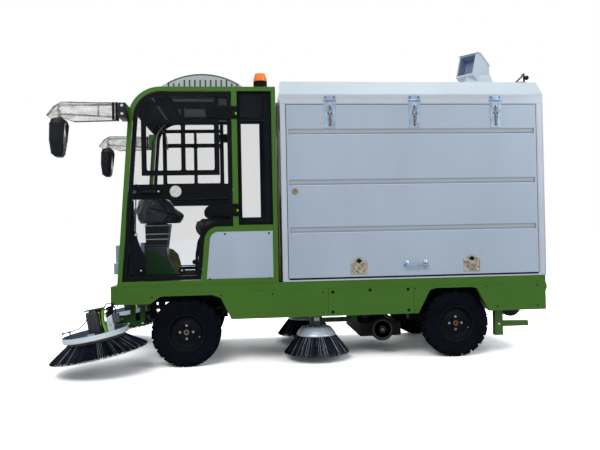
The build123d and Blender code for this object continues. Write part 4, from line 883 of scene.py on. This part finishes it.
def window_borders(side, sign):
    piece = Piece(f"window_borders_{side}")
    (x0, x1), (z0, z1) = QUARTER
    depth = on_side(sign, 733.4, 734.8)
    for x, z in (((x0 + 1, x0 + 34), (z0 + 1, z1 - 1)), ((x1 - 62, x1 - 1), (z0 + 1, z1 - 1)),
                 ((x0 + 34, x1 - 62), (z0 + 1, z0 + 66)), ((x0 + 34, x1 - 62), (z1 - 34, z1 - 1))):
        piece.box(x, depth, z, SEAL_BLACK, 0.3)
    ring_plate(piece, (x0 + 0.6, x1 - 0.6), (z0 + 0.6, z1 - 0.6), 12, 10, on_side(sign, 741.2, 749),
               SEAL_BLACK)
    piece.done("body", "black_paint")


both_sides(door_fittings, door_post_fittings, window_borders)

# Hatches and rear door: handle ovals, painted highlight lines under the grooves, worn straps with ribs,
# bolts, locks and plug.

HATCH_HINGE_X = (1297, 2064.5, 2819)
HATCH_AXIS_Z = 2330
LEAF_OUT = 4.8
LOCK_X = (1532, 2567)
LOCK_Z = 858


def panel_fittings(piece, at, out, hinges, locks, axis, handle):
    """What a panel carries; at(u, depth, z) places a point on its outer face."""
    def span(*depths):
        return sorted(at(0, depth, 0)["xy".index(axis)] for depth in depths)

    for end in (-86, 86):
        oval = [(handle + end + 21 * u, 856 + 44 * v) for u, v in around(24)]
        piece.plate(oval, axis, *span(-1, 5), CHROME, 2, smooth=True)
    ends = (950, 3155) if axis == "y" else (-660, 660)
    # Painted highlight: a thin white strip under each groove stands for the light caught on the groove's
    # lower bend.
    for level in GROOVE_Z:
        highlight_line = [(ends[0], level - 31), (ends[1], level - 31), (ends[1], level - 28), (ends[0], level - 28)]
        piece.plate(highlight_line, axis, *span(-0.5, 1.5), COVER_WHITE)
    for u in hinges:
        worn = [(u - 27, HATCH_AXIS_Z - 60), (u - 18, HATCH_AXIS_Z - 232), (u + 18, HATCH_AXIS_Z - 232),
                (u + 27, HATCH_AXIS_Z - 60)]
        piece.plate(worn, axis, *span(4, 5.6), STRAP_WORN)
        piece.tube([at(u, 4, HATCH_AXIS_Z - 46), at(u, 4, HATCH_AXIS_Z - 205)], 7, CHROME_BLUE, 12)
        for du, dz, radius in ((-19, -118, 7), (19, -118, 7), (0, -222, 7), (-22, -30, 4), (22, -30, 4)):
            piece.bolt(at(u + du, 4.8, HATCH_AXIS_Z + dz), out, radius, RUST if dz < -100 else STEEL)
    for u in locks:
        for du, dz in ((-62, -64), (62, -64), (-62, 26), (62, 26)):
            piece.bolt(at(u + du, 3.8, LOCK_Z + dz), out, 5, STEEL)
        piece.turned(at(u, 10.6, LOCK_Z - 20), out, [(12, 0), (12, 2), (9, 3), (4, 3), (3, 1.2), (0, 1.2)],
                     BRASS, 20)


def leaf_bolts(name, at, out, hinges):
    """Two bolts in each fixed hinge leaf above a panel."""
    piece = Piece(name)
    for u in hinges:
        for du in (-38, 38):
            piece.bolt((*at(u + du), HATCH_AXIS_Z + 27), out, 6, RUST)
    piece.done("body", "steel")


for side, sign in SIDES:
    piece = Piece(f"hatch_fittings_{side}")
    panel_fittings(piece, lambda u, depth, z, s=sign: (u, s * (BODY_SIDE + depth), z), (0, sign, 0),
                   HATCH_HINGE_X, LOCK_X, "y", HATCH_HANDLE_X)
    piece.turned((973, sign * (BODY_SIDE - 1), 1524), (0, sign, 0),
                 [(27, 0), (27, 3), (23, 5), (14, 5), (12, 3),
                                                                     (6, 3), (5, 6), (0, 6)], BRASS, 28)
    piece.done(f"hatch_{side}", "steel")
    leaf_bolts(f"hatch_leaf_bolts_{side}", lambda u, s=sign: (u, s * (BODY_SIDE + LEAF_OUT)), (0, sign, 0),
               HATCH_HINGE_X)
piece = Piece("rear_door_fittings")
panel_fittings(piece, lambda u, depth, z: (BOX_REAR + depth, u, z), (1, 0, 0), (-450, 0, 450), (-380, 380),
               "x",
               0)
piece.done("rear_door", "steel")
leaf_bolts("rear_leaf_bolts", lambda u: (BOX_REAR + LEAF_OUT, u), (1, 0, 0), (-450, 0, 450))

# Cab: covered steering wheel, tower bands, levers, bag, ceiling, cable, windscreen rubbers and wiper.


def wheel_cover():
    """The loose dark film that wraps the steering wheel, pulled to a point towards the seat."""
    piece = Piece("steering_wheel_cover")
    rings = []
    sides, levels = 56, 18
    for level in range(levels + 1):
        share = level / levels
        z = 1272 + 222 * share
        swell = sin(pi * min(1, 0.16 + 0.80 * share)) ** 0.6
        ring = []
        for i in range(sides):
            turn = 2 * pi * i / sides
            fold = 1 + 0.045 * sin(7 * turn + 5 * share) + 0.03 * sin(13 * turn - 9 * share)
            beak = 46 * max(0, cos(turn)) ** 8 * exp(-((share - 0.30) / 0.2) ** 2)
            u = (118 + 84 * swell * (1 - 0.45 * share)) * fold + beak
            v = (112 + 96 * swell * (1 - 0.3 * share)) * fold
            ring.append((-268 + u * cos(turn) - 46 * share, DRIVER_Y + v * sin(turn), z))
        rings.append(ring)
    piece.loft(rings, FILM_DARK, smooth=True)
    for level, u, v in ((1290, 150, 146), (1302, 152, 148)):
        band = [(-270 + u * a, DRIVER_Y + v * b, level) for a, b in around(40)]
        piece.tube(band + band[:1], 3, SEAL_BLACK, 6)
    piece.done("body", "dark_plastic")


def cab_inside():
    piece = Piece("cab_inside_fittings")
    for z in (1046, 1068, 1124, 1172, 1250):
        half = 103 + (z - 1048) * 0.02
        x0, x1 = -386 - (z - 1048) * 0.022, -199 + (z - 1048) * 0.139
        piece.box((x0 - 4, x1 + 4), (DRIVER_Y - half - 5, DRIVER_Y + half + 5), (z - 4, z + 4),
                  GREY_PLASTIC if z in (1046, 1068) else LABEL)
    for y, lean in ((-420, 0), (-350, 14)):
        piece.tube([(-500 + lean, y, 729), (-515 + lean, y, 900), (-505 + lean, y, 1080)], 13,
                   GREY_PLASTIC, 12)
        piece.turned((-505 + lean, y, 1070), (0.08, 0, 1),
                     [(19, 0), (22, 20), (22, 95), (16, 118), (0, 122)], PLASTIC,
                     20)
        piece.turned((-500 + lean, y, 729), UP, [(34, 0), (30, 16), (18, 34), (14, 50), (0, 50)], RUBBER, 20)
    rings = []
    for z, u, v, x in ((729, 62, 40, -160), (780, 66, 44, -158), (880, 58, 40, -162), (970, 44, 30, -176),
                       (1016, 22, 16, -198), (1026, 6, 5, -206)):
        ring = []
        for i in range(28):
            turn = 2 * pi * i / 28
            fold = 1 + 0.06 * sin(5 * turn + z * 0.02)
            ring.append((x + u * fold * cos(turn), 20 + v * fold * sin(turn), z))
        rings.append(ring)
    piece.loft(rings, YELLOW, smooth=True)
    piece.done("body", "dark_plastic")


def ceiling():
    piece = Piece("ceiling_fittings")
    for x, y in ((-90, -520), (500, -520), (-60, 0), (300, -330)):
        piece.turned((x, y, 2431.5), (0, 0, -1), cap(16, 5, 11, 9), LABEL, 20)
    for i in range(9):
        piece.box((-96 + i * 64, -66 + i * 64), (-470, -170), (2400.5, 2403.5), GREY_PLASTIC, 1)
    for i in range(4):
        piece.box((-96 + i * 64, -66 + i * 64), (14, 426), (2400.5, 2403.5), GREY_PLASTIC, 1)
        piece.box((226 + i * 66, 256 + i * 66), (14, 426), (2400.5, 2403.5), GREY_PLASTIC, 1)
    piece.done("body", "dark_plastic")


def pillar_cable():
    """The thin cable that is taped to the right front pillar."""
    piece = Piece("pillar_cable")
    piece.tube([(-392, 640, 2368), (-376, 636, 2344), (-345, 632, 2303), (-312, 630, 2262), (-296, 630, 2220),
                (-290, 632, 2160), (-287, 636, 2106)], 5, BEIGE, 8)
    piece.box((-300, -276), (628, 652), (2086, 2110), BEIGE)
    piece.box((-402, -382), (630, 652), (2358, 2380), BEIGE)
    piece.done("body", "dark_plastic")


def windscreen():
    """Rubbers round the windscreen and a wiper on it."""
    piece = Piece("windscreen_fittings")

    for y in (-700, 700):
        inner = y - copysign(14, y)
        low, high = sorted((y, inner))
        piece.loft([[(screen_x(z) + 0.6, low, z), (screen_x(z) + 0.6, high, z), (screen_x(z) + 8, high, z),
                     (screen_x(z) + 8, low, z)] for z in (964, 1580, 2200)], SEAL_BLACK)
    piece.box((screen_x(968) + 0.5, screen_x(968) + 8), (-700, 700), (963, 976), SEAL_BLACK)
    piece.turned((screen_x(1010) + 6, 60, 1010), (-1, 0, 0.08), cap(24, 14, 16, 22),
                 BLACK, 24)
    piece.tube([(screen_x(1010) - 14, 60, 1012), (screen_x(1200) - 20, 20, 1200),
                (screen_x(1420) - 12, -40, 1420)], 7, BLACK)
    piece.tube([(screen_x(1180) - 5, 30, 1180), (screen_x(1420) - 6, -38, 1420),
                (screen_x(1660) - 5, -106, 1660)], 6,
               RUBBER, 6)
    piece.done("body", "black_paint")


wheel_cover()
cab_inside()
ceiling()
pillar_cable()
windscreen()

# Seat: cushion and back puffed by a short cloth run, with folds of the loose film over them.

SEAT_PADS = (("seat_cushion", (289, DRIVER_Y, 1220), (205, 228, 62), 0),
             ("seat_back", (466, DRIVER_Y, 1440), (38, 228, 176), 4))
PAD_VOXEL = 0.010
PAD_CAP = 0.024
PAD_FRAMES = 20
PAD_FOLD = 0.0035


def seat_pad(name, centre, half, lean):
    mesh = bpy.data.meshes.new(name)
    form = bmesh.new()
    bmesh.ops.create_cube(form, size=2)
    bmesh.ops.scale(form, vec=[h / 1000 for h in half], verts=form.verts)
    bmesh.ops.bevel(form, geom=form.edges, offset=0.028, segments=3, profile=0.6, affect="EDGES")
    bmesh.ops.rotate(form, verts=form.verts, matrix=Matrix.Rotation(radians(lean), 3, "Y"))
    bmesh.ops.translate(form, vec=P(*centre), verts=form.verts)
    form.to_mesh(mesh)
    form.free()
    pad = into_scene(name, mesh)
    remesh = pad.modifiers.new("remesh", "REMESH")
    remesh.mode = "VOXEL"
    remesh.voxel_size = PAD_VOXEL
    view = bpy.context.evaluated_depsgraph_get()
    fine = bpy.data.meshes.new_from_object(pad.evaluated_get(view))
    pad.modifiers.clear()
    pad.data = fine
    start = [v.co.copy() for v in fine.vertices]
    cloth = pad.modifiers.new("cloth", "CLOTH")
    cloth.settings.use_pressure = True
    cloth.settings.uniform_pressure_force = 4.0
    cloth.settings.effector_weights.gravity = 0.0
    cloth.point_cache.frame_start = 1
    cloth.point_cache.frame_end = PAD_FRAMES
    for step in range(1, PAD_FRAMES + 1):
        bpy.context.scene.frame_set(step)
    view = bpy.context.evaluated_depsgraph_get()
    puffed = bpy.data.meshes.new_from_object(pad.evaluated_get(view))
    pad.modifiers.clear()
    pad.data = puffed
    for vertex, rest in zip(puffed.vertices, start):
        move = vertex.co - rest
        if move.length > PAD_CAP:
            vertex.co = rest + move.normalized() * PAD_CAP
    bpy.context.scene.frame_set(1)
    body = pad.data
    floor_z, floor_x = P(0, 0, 1152).z, P(500, 0, 0).x
    for vertex in body.vertices:
        p = vertex.co
        crease = (sin(p.x * 61 + p.y * 23) * sin(p.y * 47 - p.z * 38)
                  + 0.6 * sin(p.x * 118 - p.y * 71 + p.z * 90))
        vertex.co = p + Vector((0, 0, PAD_FOLD * crease)) + Vector((0.002 * sin(p.y * 90 + p.z * 60), 0, 0))
        vertex.co.z = max(vertex.co.z, floor_z)
        vertex.co.x = min(vertex.co.x, floor_x)
    body.materials.clear()
    body.materials.append(FILM_DARK)
    body.shade_smooth()
    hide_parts("driver_seat")
    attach(pad, "body")


def seat_seams():
    """Piping round the cushion and the back, and the film gathered in ridges over the front edge."""
    piece = Piece("seat_seams")
    loop = [(u, v, 1222) for u, v in rounded((82, 497), (-480, -20), 52, 6)]
    piece.tube(loop + loop[:1], 5, PLASTIC, 8)
    for i in range(7):
        y = -440 + i * 62
        piece.tube([(92, y, 1180), (80, y + 5, 1228), (96, y - 4, 1276), (150, y + 8, 1290)], 4.5,
                   FILM_DARK, 6)
    piece.box((140, 460), (-430, -70), (1149.5, 1160), BLACK)
    piece.done("body", "seat_fabric")


for pad in SEAT_PADS:
    seat_pad(*pad)
seat_seams()

# Mirrors: strap buckles on the wrap, clamp bolts and housing seams.


def mirror_fittings(side, sign):
    piece = Piece(f"mirror_fittings_{side}")
    y = sign * MIRROR_Y

    for x in (-512, -540):
        outline = rounded((-29.5, 29.5), (2121 if x > -520 else 2123, 2273), 8, 3)
        rings = [[(x + dx, y + a * (1 - edge), b) for a, b in outline] for dx, edge in
                 ((-9, 0.0), (-9, 0.001), (9, 0.001), (9, 0.0))]
        piece.loft(rings, BLACK)
    piece.bolt((-470, y, 2240), (0, -1, 0) if sign < 0 else (0, 1, 0), 8, STEEL)
    for z in (2175, 2245):
        piece.bolt((-470, sign * 962.5, z), (0, sign, 0), 9, STEEL)
    for z, x, width in ((1850, (-1041, -944), 134), (2090, (-1047, -917), 191)):
        outline = rounded(x, (y - width / 2, y + width / 2), (x[1] - x[0]) * 0.36, 5)
        ring = [(u, v, z) for u, v in outline]
        piece.tube(ring + ring[:1], 2.2, BLACK, 6)
    piece.turned((-978, y, 2142), UP, [(24, -6), (24, 4), (16, 12), (13, 30), (0, 30)], BLACK, 24)
    piece.done("body", "black_paint")


both_sides(mirror_fittings)

# Roofs: unit bolts and seam, beacon ribs and lead, camera bracket and lead; lamp rings and housings.


def roof_fittings():
    piece = Piece("roof_fittings")
    for sign in (-1, 1):
        for x, z in ((-200, 2475), (20, 2475), (300, 2475), (520, 2475)):
            piece.bolt((x, sign * 450, z), (0, sign, 0), 6, STEEL)
        piece.box((-246, 556), on_side(sign, 444, 453), (2450.5, 2462), GREY_PLASTIC)
    x, y = BEACON
    for u, v in around(18):
        piece.tube([(x + 60.5 * u, y + 60.5 * v, 2482), (x + 59 * u, y + 59 * v, 2558)], 1.8, AMBER, 6)
    piece.turned((x, y, CAB_ROOF_Z), UP, cap(79, 7, 75.5, 10), BLACK, 40)
    piece.tube([(690, -524, 2455), (700, -440, 2454), (720, -380, 2453), (730, -330, 2452)], 6, BLACK, 8)
    piece.done("body", "dark_plastic")


def box_roof_fittings():
    piece = Piece("box_roof_fittings")
    for x in (900, 1500, 2100, 2700, 3200):
        for sign in (-1, 1):
            piece.bolt((x, sign * 640, 2519.5), UP, 7, STEEL)
    for sign in (-1, 1):
        piece.box((858, 3265), on_side(sign, 747, 756), (2378, 2388), WHITE)
    rings = [[(x + dx, -600 + dy, z) for dx, dy in ((-9, -15), (9, -15), (9, 15), (-9, 15))] for x, z in
             ((3070, 2519), (3084, 2527), (3158, 2592), (3160, 2606))]
    piece.loft(rings, GREY_PLASTIC)
    piece.tube([(3170, -600, 2530), (3150, -520, 2524), (3100, -480, 2524), (3020, -470, 2524)], 5, BLACK, 8)
    piece.done("body", "white_paint")


def lamp_fittings():
    piece = Piece("lamp_fittings")

    for sign in (-1, 1):
        for y in (470, 570):
            place = (screen_x(865) - 22, sign * y, 865)
            piece.turned(place, (-1, 0, 0.08), [(42, -2), (42, 3), (36, 6), (33, 2), (0, 4)], CHROME, 28)
        y = on_side(sign, 610, 702)
        piece.box((-607, screen_x(880) + 2), y, (832, 925), HOOD_SHADE, 3)
        piece.box((-589, screen_x(1000) + 4), y, (931, 1080), HOOD_SHADE, 3)
        y = on_side(sign, 416, 624)
        piece.box((screen_x(797) - 24, screen_x(797)), y, (792, 801), BLACK)
        piece.box((screen_x(934) - 24, screen_x(934)), y, (930, 938), BLACK)
        for a, material in ((575, TAIL_RED), (645, AMBER), (712, LABEL)):
            piece.turned((3277, sign * a, 624), (1, 0, 0), cap(28, 4, 22, 7), material, 24)
    piece.done("body", "lamp")


roof_fittings()
box_roof_fittings()
lamp_fittings()

# Underneath and rear: hoses in the gap behind the cab, tank straps, axle bolts, carrier bolts.


def under_fittings():
    piece = Piece("under_fittings")
    for y, material in ((-640, BEIGE), (-600, BLACK), (600, BLACK)):
        piece.tube([(834, y, 730), (836, y, 1000), (834, y, 1500), (838, y, 2000), (834, y, 2330)], 9,
                   material, 10)
    for y in (-300, 300):
        band = [(TANK[0] + u, y, TANK[1] + w) for u, w in around(40, 105)]
        piece.tube(band + band[:1], 5, STEEL, 6)
    for x, z in ((0, 362), (WHEELBASE, 374)):
        for sign in (-1, 1):
            for dx in (-38, 38):
                piece.tube([(x + dx, sign * 330, z - 90), (x + dx, sign * 330, z + 20)], 7, STEEL, 8)
    for sign in (-1, 1):
        for x in (-508, -385):
            piece.bolt((x, sign * 622.4, 388), (0, sign, 0), 8, STEEL)
        piece.bolt((-565, sign * 622.4, 430), (0, sign, 0), 10, BRASS)
        piece.bolt((2867, sign * 620.4, 274), (0, sign, 0), 9, STEEL)
    piece.done("body", "steel")


under_fittings()

# Camera at the photograph's place, from a fit to points of the photograph.
CAMERA = P(497.6, -6171.7, 1185.6)
YAW, PITCH, ROLL = -0.0946, -0.0078, -0.0198
FOCAL_PX = 617.06
PHOTO_W = 600
forward = Vector((-sin(YAW) * cos(PITCH), cos(YAW) * cos(PITCH), -sin(PITCH)))
right = Vector((cos(YAW), sin(YAW), 0))
up = right.cross(forward)
turned_right = right * cos(ROLL) + up * sin(ROLL)
turned_up = -right * sin(ROLL) + up * cos(ROLL)
camera_data = bpy.data.cameras.new("camera")
camera_data.sensor_width = 36.0
camera_data.lens = camera_data.sensor_width * FOCAL_PX / PHOTO_W
camera_data.clip_end = 200
camera = into_scene("camera", camera_data)
rotation = Matrix((turned_right, turned_up, -forward)).transposed()
camera.matrix_world = Matrix.Translation(CAMERA) @ rotation.to_4x4()
bpy.context.scene.camera = camera

# Floor: it takes the object's shadow, and the camera sees it bright enough to meet the backdrop's white.
FLOOR_GAIN = 1.12
floor_mesh = bpy.data.meshes.new("floor")
floor_mesh.from_pydata([(-90, -90, 0), (90, -90, 0), (90, 90, 0), (-90, 90, 0)], [], [(0, 1, 2, 3)])
floor = into_scene("floor", floor_mesh)
t = Tree("floor_pale")
t.hold(Roughness=0.9, Specular_IOR_Level=0.0)
tone = t.ramp(t.noise(0.4, 3.0), [(0.3, (0.80, 0.80, 0.80)), (0.7, (0.82, 0.82, 0.82))])
pale = t.add("Mix", data_type="RGBA")
pale.inputs[MIX_B].default_value = (1, 1, 1, 1)
seen_by = t.add("LightPath")
t.link(seen_by, "Is Camera Ray", pale, "Factor")
t.link(tone, "Color", pale, MIX_A)
t.link(pale, MIX_OUT, t.bsdf, "Base Color")
lift = t.add("BsdfDiffuse", Color=(FLOOR_GAIN, FLOOR_GAIN, FLOOR_GAIN, 1))
both = t.add("AddShader")
t.link(t.bsdf, "BSDF", both, 0)
t.link(lift, "BSDF", both, 1)
pick = t.add("MixShader")
t.link(seen_by, "Is Camera Ray", pick, "Fac")
t.link(t.bsdf, "BSDF", pick, 1)
t.link(both, "Shader", pick, 2)
t.link(pick, "Shader", t.out, "Surface")
floor_mesh.materials.append(t.material)

world = bpy.data.worlds.new("studio")
bpy.context.scene.world = world
sky = Nodes(world)
output = sky.add("OutputWorld")
soft = sky.add("Background", Color=(0.88, 0.91, 0.95, 1), Strength=0.55)
seen = sky.add("Background", Color=(1, 1, 1, 1), Strength=1.0)
path = sky.add("LightPath")
mix = sky.add("MixShader")
most = (path, "Is Camera Ray")
for ray in ("Is Glossy Ray", "Is Transmission Ray"):
    either = sky.add("Math", operation="MAXIMUM")
    sky.link(*most, either, 0)
    sky.link(path, ray, either, 1)
    most = (either, "Value")
sky.link(*most, mix, "Fac")
sky.link(soft, "Background", mix, 1)
sky.link(seen, "Background", mix, 2)
sky.link(mix, "Shader", output, "Surface")


def area_light(name, place, target, size, power, color=(1, 1, 1)):
    data = bpy.data.lights.new(name, "AREA")
    data.shape = "RECTANGLE"
    data.size, data.size_y = size
    data.energy = power
    data.color = color
    lamp = into_scene(name, data)
    lamp.location = place
    lamp.rotation_mode = "QUATERNION"
    lamp.rotation_quaternion = (Vector(target) - Vector(place)).to_track_quat("-Z", "Y")


area_light("key", (-3.0, -7.0, 6.5), (0, 0, 1.2), (5, 3), 330, (1.0, 0.98, 0.95))
area_light("fill", (6.0, -5.0, 4.0), (0.5, 0, 1.2), (4, 4), 120, (0.93, 0.96, 1.0))
area_light("top", (2.6, 1.6, 7.0), (0, 0, 0.6), (2.6, 2.0), 205)
area_light("far_side", (0.0, 8.0, 5.0), (0, 0, 1.2), (6, 4), 160)

bpy.context.scene.view_settings.view_transform = "Standard"
